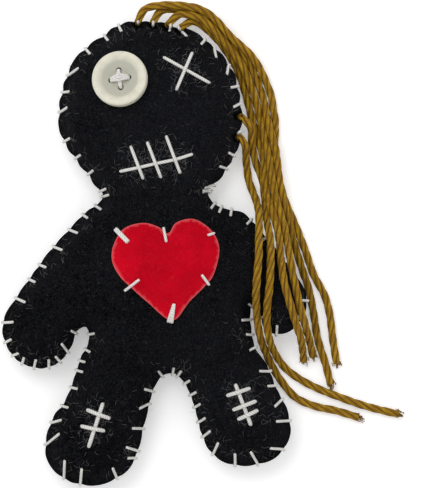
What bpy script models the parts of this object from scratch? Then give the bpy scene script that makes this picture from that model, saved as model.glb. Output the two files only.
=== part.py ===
"""Felt voodoo doll that lies on its back, with a ball-jointed plastic frame inside.

Metres, +Z up. The head points to +Y and the face looks up. Left and right are as seen from above.
Places read from the reference picture are in its pixels and go through at(), which makes them metres.
"""

import math
import random
from collections import namedtuple

import bmesh
import bpy
import numpy as np
from mathutils import Matrix, Vector
from mathutils.bvhtree import BVHTree
from mathutils.geometry import delaunay_2d_cdt, intersect_point_line

# Overall size: the picture's length of the doll, and the doll's own
DOLL_LENGTH = 0.2097
LENGTH_IN_PICTURE = 466.0
MIDDLE_IN_PICTURE = (154.599, 254.253)

# Felt, and how far the stuffing lifts it from the seam
FELT = 0.0012
SEAM_HEIGHT = 0.0110
SEAM_OPENING = 0.0012
SEAM_WIDTH = 0.0030
FRONT_RISE = 0.0200
BACK_DROP = 0.0250
ROUNDNESS = 0.40
EDGE_STEP = 0.0074
GRID_STEP = 0.0084
GAP = 0.0003

# Whip stitch round the edge
WHIP_PITCH = 0.0093
WHIP_THREAD = 0.0011
WHIP_REACH = 0.0048
WHIP_SLANT = 0.0022
WHIP_STANDOFF = 0.0004
WHIP_LIFT = 0.0005
WHIP_BACK_SHARE = 0.82
CORE_INSET = 0.0016
CORE_WIDTH = 0.0010
CORE_HEIGHT = 0.0006
ROOT_ROOM = 0.0036

# Stitches on the front
STITCH_THREAD = 0.0013

# Eye button
BUTTON_DIAMETER = 0.0250
BUTTON_THICKNESS = 0.0042
BUTTON_RIM_WIDTH = 0.0038
BUTTON_RECESS = 0.0012
BUTTON_HOLE = 0.0024
BUTTON_HOLE_CIRCLE = 0.0082
BUTTON_SIDES = 30
BUTTON_THREAD = 0.0013

# Heart patch
HEART_FELT = 0.0012
HEART_STEP = 0.0060

# Ball-jointed frame
FRAME_HEIGHT = 0.0105
BALL_RADIUS = 0.0034
BALL_CLEARANCE = 0.00045
SOCKET_WALL = 0.0014
SOCKET_LIP = 0.0011
STUD_RADIUS = 0.0013
BONE_RADIUS = 0.0015
SPINE_RADIUS = 0.0024
ROUND_SIDES = 12

# Stuffing
STUFFING_CLEARANCE = 0.0011
STUFFING_INSET = 0.0056
STUFFING_STEP = 0.0080
BONE_CHANNEL = 0.0005
JOINT_ROOM = 0.0048

# Yarn
YARN = 0.0033
YARN_STEP = 0.0080

BLACK = (0.009, 0.010, 0.013, 1.0)
RED = (0.60, 0.004, 0.012, 1.0)
OFF_WHITE = (0.75, 0.72, 0.66, 1.0)
IVORY = (0.80, 0.76, 0.60, 1.0)
MUSTARD = (0.30, 0.15, 0.008, 1.0)
FIBREFILL = (0.85, 0.85, 0.83, 1.0)
PLASTIC = (0.72, 0.70, 0.62, 1.0)

# Edge of the body, clockwise from the top of the head
BODY_EDGE = [
    (138, 20.5), (163, 22), (185, 27.5), (204, 37), (221, 52.5), (234, 72), (240.5, 95),
    (242.5, 122), (238, 150), (228, 169), (217, 184), (210, 197), (221, 206), (244, 213),
    (259, 228), (277, 250), (296, 275), (307, 296), (304, 316), (292, 330), (276, 335),
    (264, 328), (258, 315), (251.5, 305), (247.5, 310), (249, 330), (257, 350),
    (268, 366), (277, 388), (287, 408), (291, 430), (285, 448), (272, 460), (250, 466),
    (228, 464), (211, 453), (201, 434), (195, 411), (186, 387), (176, 376), (166, 375),
    (157, 383), (150, 404), (143, 432), (137, 456), (124, 474), (100, 485), (76, 484),
    (57, 474), (46, 457), (46, 437), (54, 415), (64, 402), (73, 380), (80, 357),
    (88, 342), (86, 327), (78, 331), (70, 350), (58, 364), (39, 369), (17, 361),
    (4, 341), (3, 320), (14, 300), (30, 277), (50, 250), (68, 230), (84, 213),
    (100, 199), (92, 182), (75, 160), (61, 137), (58, 112), (65, 78), (80, 52),
    (104, 34), (118, 24),
]

HEART_EDGE = [
    (168.4, 233.5), (176, 223), (192.8, 219), (208, 227), (217, 239), (219.3, 252.6),
    (213, 276), (204, 287), (190, 301), (172.8, 320), (147, 301), (128, 284),
    (120.6, 276.5), (113, 262), (113.5, 247), (124, 229), (143.6, 223), (159, 227),
]

# Where the skin folds: each fold runs from one edge of the body to the other
NECK_FOLD = ((100, 200), (210, 198))
LEFT_SHOULDER_FOLD = ((101, 201), (86, 327))
RIGHT_SHOULDER_FOLD = ((211.5, 199), (250, 304))
LEFT_HIP_FOLD = ((166, 375), (80, 357))
RIGHT_HIP_FOLD = ((176, 376), (257, 350))

# The inside of the right armpit, too tight for a whip stitch
NO_STITCH_AT = (254, 310)

NECK = (156, 189)
LEFT_SHOULDER = (79, 260)
RIGHT_SHOULDER = (250.5, 264)
LEFT_HIP = (119.5, 383)
RIGHT_HIP = (222, 380)
SPINE_TOP = (157, 215)
SPINE_BOTTOM = (169, 345)
HEAD_CENTRE = (150, 105)
LEFT_HAND = (37, 325)
RIGHT_HAND = (280, 300)
LEFT_FOOT = (95, 452)
RIGHT_FOOT = (243, 440)

Limb = namedtuple("Limb", "fold joint tip carrier")
LIMBS = {
    "head": Limb(NECK_FOLD, NECK, HEAD_CENTRE, SPINE_TOP),
    "left_arm": Limb(LEFT_SHOULDER_FOLD, LEFT_SHOULDER, LEFT_HAND, SPINE_TOP),
    "right_arm": Limb(RIGHT_SHOULDER_FOLD, RIGHT_SHOULDER, RIGHT_HAND, SPINE_TOP),
    "left_leg": Limb(LEFT_HIP_FOLD, LEFT_HIP, LEFT_FOOT, SPINE_BOTTOM),
    "right_leg": Limb(RIGHT_HIP_FOLD, RIGHT_HIP, RIGHT_FOOT, SPINE_BOTTOM),
}

# Strands of yarn from the edge of the head to their ends, as (x, y in the picture, height in mm)
YARNS = [
    [
        (245.5, 137, 11), (245.5, 146, 9), (246, 156, 5.5), (247, 168, 2.6), (249, 181, 2.6),
        (253, 192, 4), (256.3, 201, 7.5), (258.5, 211, 12.5), (259, 221, 16.9), (259, 232, 19.5),
        (258.7, 243, 23.5), (258.5, 255, 26.4), (257, 275, 27.7), (256, 290, 27), (256, 301, 22.8),
        (256.5, 312, 19.2), (257.5, 323, 16.8), (259.5, 334, 15.5), (262, 343, 11.2),
        (266, 353, 5.6), (272, 366, 2.3), (281, 381, 1.9), (296, 398, 1.9), (316, 407, 1.9),
        (335, 411, 1.9), (359, 418, 1.9),
    ],
    [
        (247, 118, 11), (250.5, 127, 9.5), (251.8, 139, 6), (253, 151, 3.2), (255.3, 160, 2.1),
        (258, 168, 1.9), (262.5, 180, 1.9), (265, 200, 3.9), (267.2, 223, 12.2), (269, 232, 17),
        (270.3, 242, 19.4), (270.6, 254, 22), (270.3, 264, 24), (270, 276, 25.2), (269, 289, 25.2),
        (267.5, 301, 23.6), (266.8, 312, 20.6), (266.8, 323, 18), (268.5, 336, 16), (271.5, 346, 11),
        (277.5, 358, 5), (286, 369, 1.9), (299, 379, 1.9), (316, 388, 1.9), (341, 398, 1.9),
        (367, 407, 1.9), (399, 415, 1.9),
    ],
    [
        (184, 22.3, 11), (192, 21.2, 10), (200, 24, 8.8), (208, 30, 7.5), (221.2, 43.8, 5.8),
        (237.2, 69.4, 3.5), (246.5, 97, 1.9), (252.4, 120, 1.9), (257.3, 136, 2), (261.7, 151, 3),
        (264.5, 165, 4.1), (265.5, 180, 5.4), (268.8, 200, 8.2), (276.3, 225, 13.4), (279, 239, 16.2),
        (280, 248, 17.2), (281.5, 265, 19.6), (284, 282, 23), (289, 301, 22), (294.5, 319, 18.2),
        (298.3, 331, 16.9), (300.5, 338, 14.5), (302, 345, 10), (303, 352, 6), (304, 361, 2.5),
    ],
    [
        (171, 17, 11), (179, 14.8, 12), (190, 15.2, 12.3), (200.5, 18.8, 11.8), (210.2, 26.1, 11.2),
        (223.7, 41.3, 9.7), (242.3, 66.3, 6.6), (254.5, 97, 3), (260.3, 120, 2.6), (264.4, 136, 4.1),
        (268, 151, 5.5), (270.2, 165, 6.9), (272.3, 180, 8), (276.3, 200, 8.8), (284, 226, 11.5),
        (287, 242, 14.5), (289.5, 256, 17), (292, 270, 18), (295, 285, 18.6), (300, 307, 18),
        (303.5, 319, 17), (305.7, 328, 14.8), (308.5, 337, 9.5), (311, 347, 4.5), (313.5, 357, 2.3),
    ],
    [
        (154, 16, 11), (160, 11.5, 10.2), (169, 9.2, 9.4), (185, 9.8, 8.4), (200, 13.6, 7.8),
        (212.1, 22.9, 7.4), (227, 38, 5.8), (248.7, 62.4, 3), (262.8, 96, 1.9), (265.2, 108, 2.8),
        (267.9, 120, 3.8), (272, 136, 5.6), (276, 151, 5.9), (277.7, 165, 5.8), (279.5, 180, 6),
        (283.3, 200, 6), (287, 214, 5.6), (290, 226, 4.6), (295, 246, 2.2), (302.5, 270, 1.9),
        (308.5, 288, 1.9), (314, 314, 1.9), (318, 339, 1.9), (326, 365, 1.9), (331, 385, 1.9),
    ],
    [
        (138, 15.3, 11), (144, 10.1, 12.2), (152, 6.8, 12.9), (166, 5.2, 13.3), (185, 6, 12.8),
        (201, 9.6, 12), (214.5, 18.7, 11.2), (229.6, 35.4, 9.8), (254.2, 59, 5.8), (270.5, 93, 1.9),
        (273.3, 108, 1.9), (275.2, 120, 1.9), (275.3, 136, 1.9), (274.5, 151, 1.9),
        (276.5, 165, 1.9), (279.4, 180, 1.9), (285, 200, 1.9), (296, 226, 1.9), (304.5, 248, 1.9),
        (314, 275, 1.9), (324.5, 295, 1.9), (330, 314, 1.9), (333, 339, 1.9), (337, 364, 1.9),
    ],
]

BUTTON_CENTRE = (120.5, 79.5)
BUTTON_TURN = math.radians(8)

# Straight stitches as (start, end, layers of thread passed under it)
FACE_STITCHES = {
    "eye_stitch_long": ((164.5, 58.5), (209, 83.3), 0),
    "eye_stitch_short": ((192, 54), (176.8, 90), 1),
    "mouth_bar_left": ((131.5, 147.7), (143.3, 178.3), 1),
    "mouth_bar_middle": ((148, 143.6), (161, 177.2), 1),
    "mouth_bar_right": ((166.7, 137.4), (180, 172.7), 1),
}
MOUTH_LINE = [(121.3, 171.6), (141, 167.6), (156.5, 164), (175.4, 160), (191.7, 154.8)]
LEG_STITCHES = {
    "left_leg_stitch_long": ((103, 403.7), (89.4, 445.4), 0),
    "left_leg_stitch_upper": ((88.5, 409.7), (109.2, 417.5), 1),
    "left_leg_stitch_lower": ((82.5, 425.8), (103.7, 430), 1),
    "right_leg_stitch_long": ((235.8, 385), (250.4, 423.5), 0),
    "right_leg_stitch_upper": ((228, 394.8), (248.7, 388.2), 1),
    "right_leg_stitch_middle": ((234, 409), (254.7, 401), 1),
    "right_leg_stitch_lower": ((239, 418.4), (256.5, 410.3), 1),
}
HEART_STITCHES = [
    ((117.3, 230), (127.8, 241)),
    ((164, 229), (166.5, 240.7)),
    ((208.6, 234.6), (213.4, 233.5)),
    ((126.4, 289.4), (138.3, 280)),
    ((202.4, 275.6), (208.6, 284.2)),
    ((174.5, 304.8), (170.8, 321)),
]

SCALE = DOLL_LENGTH / LENGTH_IN_PICTURE
FRONT_SEAM = SEAM_HEIGHT + SEAM_OPENING / 2 + FELT
BACK_SEAM = SEAM_HEIGHT - SEAM_OPENING / 2 - FELT
SOCKET_RADIUS = BALL_RADIUS + BALL_CLEARANCE + SOCKET_WALL


def at(place, height=None):
    """A place in the picture, in metres: a 2-D point, or a 3-D one at a height."""
    x = (place[0] - MIDDLE_IN_PICTURE[0]) * SCALE
    y = (MIDDLE_IN_PICTURE[1] - place[1]) * SCALE
    return Vector((x, y)) if height is None else Vector((x, y, height))


def clear_scene():
    for obj in list(bpy.data.objects):
        bpy.data.objects.remove(obj, do_unlink=True)


def material(name, colour, roughness):
    made = bpy.data.materials.get(name) or bpy.data.materials.new(name)
    made.use_nodes = True
    shader = made.node_tree.nodes["Principled BSDF"]
    shader.inputs["Base Color"].default_value = colour
    shader.inputs["Roughness"].default_value = roughness
    shader.inputs["Metallic"].default_value = 0.0
    return made


def add_object(name, data, finish, parent=None):
    obj = bpy.data.objects.new(name, data)
    bpy.context.scene.collection.objects.link(obj)
    data.materials.append(finish)
    if parent is not None:
        obj.parent = parent
        obj.matrix_parent_inverse = parent.matrix_world.inverted()
    return obj


def mesh_object(name, bm, finish, parent=None, smooth=True):
    mesh = bpy.data.meshes.new(name)
    bm.to_mesh(mesh)
    bm.free()
    if smooth:
        mesh.shade_smooth()
        mesh.set_sharp_from_angle(angle=math.radians(40))
    return add_object(name, mesh, finish, parent)


def tube(name, points, diameter, finish, parent=None, resolution=1):
    """A thread or a strand along its points, as a curve with a bevel."""
    curve = bpy.data.curves.new(name, "CURVE")
    curve.dimensions = "3D"
    curve.bevel_depth = diameter / 2
    curve.bevel_resolution = resolution
    curve.use_fill_caps = True
    spline = curve.splines.new("POLY")
    spline.points.add(len(points) - 1)
    for point, place in zip(spline.points, points):
        point.co = (*place, 1.0)
    return add_object(name, curve, finish, parent)


def hermite(points, closed):
    """Many points on the smooth line through a few."""
    points = [Vector(p) for p in points]
    count = len(points)
    dense = []
    for i in range(count if closed else count - 1):
        b, c = points[i], points[(i + 1) % count]
        a = points[i - 1] if closed or i else b
        d = points[(i + 2) % count] if closed or i + 2 < count else c
        length = (c - b).length
        leave = (c - a) / ((b - a).length + length)
        arrive = (d - b) / (length + (d - c).length)
        for k in range(12):
            s = k / 12
            dense.append(
                b * (2 * s**3 - 3 * s**2 + 1)
                + leave * (length * (s**3 - 2 * s**2 + s))
                + c * (3 * s**2 - 2 * s**3)
                + arrive * (length * (s**3 - s**2))
            )
    if not closed:
        dense.append(points[-1])
    return dense


def evenly(dense, step, closed):
    """The same line with its points one step apart."""
    line = dense + dense[:1] if closed else dense
    run = np.cumsum([0.0] + [(b - a).length for a, b in zip(line, line[1:])])
    pieces = max(3, round(run[-1] / step))
    wanted = np.linspace(0.0, run[-1], pieces + 1)
    if closed:
        wanted = wanted[:-1]
    table = np.array([tuple(p) for p in line])
    return [Vector(row) for row in np.stack([np.interp(wanted, run, c) for c in table.T], 1)]


def inward(loop):
    """The unit vector that points into the body at each point of a clockwise loop."""
    count = len(loop)
    found = []
    for i in range(count):
        along = (loop[(i + 1) % count] - loop[i - 1]).normalized()
        found.append(Vector((along.y, -along.x)))
    return found


def is_inside(loop, point):
    """Whether a 2-D point is inside a loop, by the crossings of a ray."""
    odd = False
    for a, b in zip(loop, loop[1:] + loop[:1]):
        if (a.y > point.y) != (b.y > point.y):
            odd ^= point.x < a.x + (b.x - a.x) * (point.y - a.y) / (b.y - a.y)
    return odd


def edge_distance(loop, point):
    nearest = math.inf
    for a, b in zip(loop, loop[1:] + loop[:1]):
        foot, share = intersect_point_line(point, a, b)
        foot = (a, Vector(foot[:2]), b)[(share > 0) + (share > 1)]
        nearest = min(nearest, (point - foot).length)
    return nearest


def inset_loop(loop, depth, step):
    """The loop moved inwards, without the points that crowd together where it bends in."""
    fine = evenly(loop, depth / 3, True)
    moved = [p + n * depth for p, n in zip(fine, inward(fine))]
    return evenly([p for p in moved if edge_distance(fine, p) > depth * 0.93], step, True)


def flat_mesh(loop, step, margin, inner_rings=()):
    """Triangles inside a loop, on an even grid that keeps a margin to the edge and the rings."""
    points = list(loop)
    edges = []
    for ring in inner_rings:
        first = len(points)
        points += ring
        edges += [(first + i, first + (i + 1) % len(ring)) for i in range(len(ring))]
    row_step = step * math.sqrt(0.75)
    low = Vector((min(p.x for p in loop), min(p.y for p in loop)))
    high = Vector((max(p.x for p in loop), max(p.y for p in loop)))
    for row in range(int((high.y - low.y) / row_step) + 1):
        for column in range(int((high.x - low.x) / step) + 1):
            shift = step / 2 if row % 2 else 0.0
            point = low + Vector((column * step + shift, row * row_step))
            if is_inside(loop, point) and edge_distance(loop, point) > margin:
                points.append(point)
    cut = delaunay_2d_cdt(points, edges, [list(range(len(loop)))], 1, 1e-7)
    return [Vector(p) for p in cut[0]], [tuple(f) for f in cut[2]]


def fullness(points, faces, held):
    """How far stuffing lifts each point, from 0 where it is held to 1: a membrane under pressure."""
    count = len(points)
    size = np.zeros((count, count))
    load = np.zeros(count)
    for face in faces:
        corners = [points[i] for i in face]
        twice_area = abs((corners[1] - corners[0]).cross(corners[2] - corners[0]))
        for k in range(3):
            i, j, top = face[k], face[(k + 1) % 3], corners[(k + 2) % 3]
            a, b = corners[k] - top, corners[(k + 1) % 3] - top
            weight = max(0.0, a.dot(b) / max(abs(a.cross(b)), 1e-12))
            size[i, j] -= weight
            size[j, i] -= weight
            size[i, i] += weight
            size[j, j] += weight
            load[i] += twice_area
    free = [i for i in range(count) if not held[i]]
    lift = np.zeros(count)
    lift[free] = np.linalg.solve(size[np.ix_(free, free)], load[free])
    return np.maximum(lift / lift.max(), 0.0) ** ROUNDNESS


def sheet(points, heights, faces, face_up):
    bm = bmesh.new()
    verts = [bm.verts.new((p.x, p.y, h)) for p, h in zip(points, heights)]
    for face in faces:
        corners = [points[i] for i in face]
        up = (corners[1] - corners[0]).cross(corners[2] - corners[0]) > 0
        order = face if up == face_up else face[::-1]
        bm.faces.new([verts[i] for i in order])
    bm.normal_update()
    return bm


def add_solidify(obj, thickness):
    thick = obj.modifiers.new("felt", "SOLIDIFY")
    thick.thickness = thickness
    thick.offset = -1.0


def make_panels(loop, finish):
    """The two felt panels, and trees to find the height of the front and the back at a place."""
    seam_line = inset_loop(loop, SEAM_WIDTH, EDGE_STEP)
    margin = SEAM_WIDTH + GRID_STEP * 0.45
    points, faces = flat_mesh(loop, GRID_STEP, margin, [seam_line])
    held = [edge_distance(loop, p) < SEAM_WIDTH * 1.05 for p in points]
    lift = fullness(points, faces, held)
    front = sheet(points, FRONT_SEAM + FRONT_RISE * lift, faces, True)
    back = sheet(points, np.maximum(BACK_SEAM - BACK_DROP * lift, 0.0), faces, False)
    trees = BVHTree.FromBMesh(front), BVHTree.FromBMesh(back)
    flat_angle = math.radians(0.2)
    bmesh.ops.dissolve_limit(back, angle_limit=flat_angle, verts=back.verts, edges=back.edges)
    bmesh.ops.triangulate(back, faces=back.faces)
    for name, bm in (("felt_front", front), ("felt_back", back)):
        add_solidify(mesh_object(name, bm, finish), FELT)
    return trees


def front_height(trees, place):
    hit = trees[0].ray_cast(Vector((place[0], place[1], 1.0)), Vector((0, 0, -1)))
    return hit[0].z if hit[0] else FRONT_SEAM


def back_height(trees, place):
    hit = trees[1].ray_cast(Vector((place[0], place[1], -1.0)), Vector((0, 0, 1)))
    return hit[0].z if hit[0] else BACK_SEAM


def highest_near(trees, place, reach):
    """The front's greatest height within a small reach, so that what lies there stays clear."""
    offsets = ((0, 0), (1, 0), (-1, 0), (0, 1), (0, -1))
    return max(front_height(trees, (place[0] + reach * x, place[1] + reach * y)) for x, y in offsets)


def bridge(bm, first, second):
    for k in range(4):
        bm.faces.new((first[k], first[(k + 1) % 4], second[(k + 1) % 4], second[k]))


def whip_places(loop, roots):
    """Points and inward directions along the edge where a stitch wraps it."""
    line = evenly(loop, WHIP_PITCH, True)
    into = inward(line)
    places = []
    for point, direction in zip(line, into):
        beyond = point - direction * (3 * WHIP_THREAD)
        crowded = is_inside(loop, beyond) or edge_distance(loop, beyond) < 2 * WHIP_THREAD
        if not crowded and all((point - root).length > ROOT_ROOM for root in roots):
            places.append((point, direction))
    return places


def make_whip_stitch(loop, trees, roots, finish):
    """One thread: a core that runs in the seam, and from it a stitch over the edge at each place."""
    bm = bmesh.new()
    rand = random.Random(7)
    up = Vector((0, 0, 1))
    low_core = SEAM_HEIGHT - CORE_HEIGHT / 2
    high_core = SEAM_HEIGHT + CORE_HEIGHT / 2
    stations = []
    for point, direction in whip_places(loop, roots):
        into = direction.to_3d()
        along = Vector((-into.y, into.x, 0))
        edge = Vector((point.x, point.y, 0))
        for side in (-1, 1):
            rail = edge + along * (side * WHIP_THREAD / 2)
            outer = rail + into * (CORE_INSET - CORE_WIDTH / 2)
            inner = rail + into * (CORE_INSET + CORE_WIDTH / 2)
            heights = ((outer, low_core), (outer, high_core), (inner, high_core), (inner, low_core))
            stations.append([bm.verts.new(p + up * z) for p, z in heights])
        start, end = stations[-2], stations[-1]
        near = [edge - into * WHIP_STANDOFF + along * (s * WHIP_THREAD / 2) for s in (-1, 1)]
        far = [p - into * WHIP_THREAD for p in near]
        root = [start[0], end[0], end[1], start[1]]
        turn = ((0, low_core), (1, low_core), (1, high_core), (0, high_core))
        spoke = [bm.verts.new(near[i] + up * z) for i, z in turn]
        bridge(bm, root, spoke)
        outer = [bm.verts.new(far[i] + up * z) for i, z in turn]
        bm.faces.new((outer[0], outer[1], outer[2], outer[3]))
        bm.faces.new((spoke[0], outer[0], outer[3], spoke[3]))
        bm.faces.new((spoke[1], spoke[2], outer[2], outer[1]))
        slant = rand.uniform(-0.35, 1.0) * WHIP_SLANT
        reach = WHIP_REACH * rand.uniform(0.75, 1.1)
        for side, lift, floor in ((1, FRONT_SEAM, front_height), (-1, BACK_SEAM, back_height)):
            near_row, far_row = ((3, 2), (2, 3)) if side > 0 else ((0, 1), (1, 0))
            first = [spoke[k] for k in near_row] + [outer[k] for k in far_row]
            level = lift + side * GAP
            corner = [
                bm.verts.new(near[0] + up * level),
                bm.verts.new(near[1] + up * level),
                bm.verts.new(far[1] + up * (level + side * WHIP_THREAD)),
                bm.verts.new(far[0] + up * (level + side * WHIP_THREAD)),
            ]
            bridge(bm, first, corner)
            tip = edge + into * (reach if side > 0 else reach * WHIP_BACK_SHARE)
            tip += along * (slant * side)
            lowest = [floor(trees, tip + along * (s * WHIP_THREAD / 2)) for s in (-1, 0, 1)]
            base = max(lowest) + WHIP_LIFT if side > 0 else min(lowest) - WHIP_LIFT
            if side < 0:
                base = max(base, WHIP_THREAD)
            end_quad = [
                bm.verts.new(tip - along * (WHIP_THREAD / 2) + up * base),
                bm.verts.new(tip + along * (WHIP_THREAD / 2) + up * base),
                bm.verts.new(tip + along * (WHIP_THREAD / 2) + up * (base + side * WHIP_THREAD)),
                bm.verts.new(tip - along * (WHIP_THREAD / 2) + up * (base + side * WHIP_THREAD)),
            ]
            bridge(bm, corner, end_quad)
            bm.faces.new(end_quad)
    count = len(stations)
    for i in range(count):
        first, second = stations[i], stations[(i + 1) % count]
        for k in range(4):
            if i % 2 == 0 and k == 0:
                continue
            bm.faces.new((first[k], first[(k + 1) % 4], second[(k + 1) % 4], second[k]))
    bmesh.ops.recalc_face_normals(bm, faces=bm.faces)
    return mesh_object("whip_stitch", bm, finish)


def surface_path(trees, line, diameter, layers):
    """Points of a straight stitch that lies on the front and passes over other thread at mid-length."""
    rest = diameter / 2 + GAP * 1.4
    path = []
    for k, place in enumerate(line):
        share = k / (len(line) - 1)
        hump = layers * diameter * 1.15 * math.sin(math.pi * share) ** 0.5 if 0 < share < 1 else 0.0
        height = highest_near(trees, place, diameter / 2)
        path.append(Vector((place[0], place[1], height + rest + hump)))
    return path


def make_stitches(trees, finish):
    for name, (start, end, layers) in {**FACE_STITCHES, **LEG_STITCHES}.items():
        line = evenly([at(start), at(end)], (at(end) - at(start)).length / 6, False)
        tube(name, surface_path(trees, line, STITCH_THREAD, layers), STITCH_THREAD, finish)
    line = evenly(hermite([at(p) for p in MOUTH_LINE], False), STITCH_THREAD * 3, False)
    tube("mouth_line", surface_path(trees, line, STITCH_THREAD, 0), STITCH_THREAD, finish)


def make_heart(trees, finish, thread):
    """The heart of felt, laid on the chest, and the stitches that hold it."""
    loop = evenly(hermite([at(p) for p in HEART_EDGE], True), HEART_STEP * 0.75, True)
    points, faces = flat_mesh(loop, HEART_STEP, HEART_STEP * 0.4)
    top = [highest_near(trees, p, HEART_STEP * 0.3) + GAP + HEART_FELT for p in points]
    bm = sheet(points, top, faces, True)
    tree = BVHTree.FromBMesh(bm)
    add_solidify(mesh_object("heart_patch", bm, finish), HEART_FELT)
    for number, (start, end) in enumerate(HEART_STITCHES, 1):
        line = evenly([at(start), at(end)], (at(end) - at(start)).length / 3, False)
        path = []
        for place in line:
            heights = [highest_near(trees, place, STITCH_THREAD / 2)]
            for x, y in ((0, 0), (1, 0), (-1, 0), (0, 1), (0, -1)):
                spot = Vector((place.x + x * STITCH_THREAD, place.y + y * STITCH_THREAD, 1.0))
                hit = tree.ray_cast(spot, Vector((0, 0, -1)))
                heights += [hit[0].z] if hit[0] else []
            path.append(Vector((place.x, place.y, max(heights) + STITCH_THREAD / 2 + GAP * 1.4)))
        tube(f"heart_stitch_{number}", path, STITCH_THREAD, thread)


def lathe(profile, sides):
    """A closed solid turned about Z from a profile of (radius, height), outer side from top to bottom."""
    bm = bmesh.new()
    rings = []
    for radius, height in profile:
        if radius <= 0:
            rings.append([bm.verts.new((0, 0, height))])
            continue
        turn = [2 * math.pi * k / sides for k in range(sides)]
        rings.append([bm.verts.new((radius * math.cos(a), radius * math.sin(a), height)) for a in turn])
    for upper, lower in zip(rings, rings[1:]):
        for k in range(sides):
            n = (k + 1) % sides
            above = [upper[k % len(upper)], upper[n % len(upper)]]
            below = [lower[n % len(lower)], lower[k % len(lower)]]
            corners = list(dict.fromkeys(above + below))
            if len(corners) > 2:
                bm.faces.new(corners)
    bmesh.ops.recalc_face_normals(bm, faces=bm.faces)
    return bm


def helper(name, bm):
    """A cutter or an inner shape of a Boolean, which is not a piece of its own."""
    mesh = bpy.data.meshes.new(name)
    bm.to_mesh(mesh)
    bm.free()
    obj = bpy.data.objects.new(name, mesh)
    bpy.context.scene.collection.objects.link(obj)
    obj.hide_render = True
    obj.display_type = "WIRE"
    return obj


def boolean(obj, other, operation):
    step = obj.modifiers.new(other.name, "BOOLEAN")
    step.operation = operation
    step.object = other
    step.solver = "EXACT"


def rod(start, end, radius, sides=8, end_radius=None):
    """A round bar between two points."""
    bm = bmesh.new()
    axis = end - start
    bmesh.ops.create_cone(
        bm,
        cap_ends=True,
        segments=sides,
        radius1=radius,
        radius2=radius if end_radius is None else end_radius,
        depth=axis.length,
    )
    turn = Vector((0, 0, 1)).rotation_difference(axis).to_matrix().to_4x4()
    bmesh.ops.transform(bm, matrix=Matrix.Translation((start + end) / 2) @ turn, verts=bm.verts)
    return bm


def ball(centre, radius, sides=ROUND_SIDES):
    bm = bmesh.new()
    bmesh.ops.create_uvsphere(bm, u_segments=sides, v_segments=sides // 2, radius=radius)
    bmesh.ops.translate(bm, vec=centre, verts=bm.verts)
    return bm


def socket(centre, facing):
    """A cup that holds a ball past its widest part and opens towards the bone."""
    inner = BALL_RADIUS + BALL_CLEARANCE
    outer = SOCKET_RADIUS
    profile = []
    rim = math.acos(SOCKET_LIP / outer)
    steps = 5
    for k in range(steps + 1):
        angle = rim + (math.pi - rim) * k / steps
        profile.append((outer * math.sin(angle) if k < steps else 0.0, outer * math.cos(angle)))
    rim = math.acos(SOCKET_LIP / inner)
    for k in range(steps, -1, -1):
        angle = rim + (math.pi - rim) * k / steps
        profile.append((inner * math.sin(angle) if k < steps else 0.0, inner * math.cos(angle)))
    profile.append(profile[0])
    bm = lathe(profile, ROUND_SIDES)
    bmesh.ops.remove_doubles(bm, verts=bm.verts, dist=1e-6)
    turn = Vector((0, 0, 1)).rotation_difference(facing).to_matrix().to_4x4()
    bmesh.ops.transform(bm, matrix=Matrix.Translation(centre) @ turn, verts=bm.verts)
    bmesh.ops.recalc_face_normals(bm, faces=bm.faces)
    return bm


def bone_points(limb):
    """A limb's ball centre, the bend where its stud meets its bone, its tip, and the way its socket faces."""
    across = fold_plane(limb.fold, limb.tip)[1].to_3d()
    centre = at(limb.joint, FRAME_HEIGHT)
    return centre, centre + across * (SOCKET_RADIUS + SOCKET_WALL), at(limb.tip, FRAME_HEIGHT), across


def make_frame(finish):
    """The torso's part of the frame with five sockets, and a bone on each ball."""
    top = at(SPINE_TOP, FRAME_HEIGHT)
    bottom = at(SPINE_BOTTOM, FRAME_HEIGHT)
    torso = mesh_object("frame_torso", rod(top, bottom, SPINE_RADIUS), finish)
    for name, place in (("chest_hub", top), ("pelvis_hub", bottom)):
        boolean(torso, helper(name, ball(place, SPINE_RADIUS * 1.5, 8)), "UNION")
    pivots = {}
    for name, limb in LIMBS.items():
        centre, elbow, end, facing = bone_points(limb)
        carrier = at(limb.carrier, FRAME_HEIGHT)
        back = centre - (centre - carrier).normalized() * (SOCKET_RADIUS - SOCKET_WALL * 0.4)
        boolean(torso, helper(f"{name}_strut", rod(carrier, back, BONE_RADIUS)), "UNION")
        boolean(torso, helper(f"{name}_socket", socket(centre, facing)), "UNION")
        pivot = bpy.data.objects.new(f"{name}_joint", None)
        pivot.location = centre
        bpy.context.scene.collection.objects.link(pivot)
        bpy.context.view_layer.update()
        pivots[name] = pivot
        bone = mesh_object(f"frame_{name}", ball(centre, BALL_RADIUS), finish, pivot)
        boolean(bone, helper(f"{name}_stud", rod(centre, elbow, STUD_RADIUS)), "UNION")
        boolean(bone, helper(f"{name}_elbow", ball(elbow, BONE_RADIUS * 1.15, 8)), "UNION")
        boolean(bone, helper(f"{name}_bone", rod(elbow, end, BONE_RADIUS)), "UNION")
    return pivots


def fold_plane(fold, keep):
    """A point on a fold, and the unit vector across it that points to the side of a place."""
    start, end = at(fold[0]), at(fold[1])
    along = (end - start).normalized()
    across = Vector((-along.y, along.x))
    if across.dot(at(keep) - start) < 0:
        across = -across
    return start, across


def cut_away(bm, point, outwards):
    """Removes what lies beyond a plane that stands up through a point, and closes the cut."""
    geometry = bm.verts[:] + bm.edges[:] + bm.faces[:]
    cut = bmesh.ops.bisect_plane(
        bm, geom=geometry, plane_co=point, plane_no=outwards, clear_outer=True, dist=1e-7
    )
    edges = [e for e in cut["geom_cut"] if isinstance(e, bmesh.types.BMEdge)]
    bmesh.ops.holes_fill(bm, edges=edges, sides=0)


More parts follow.
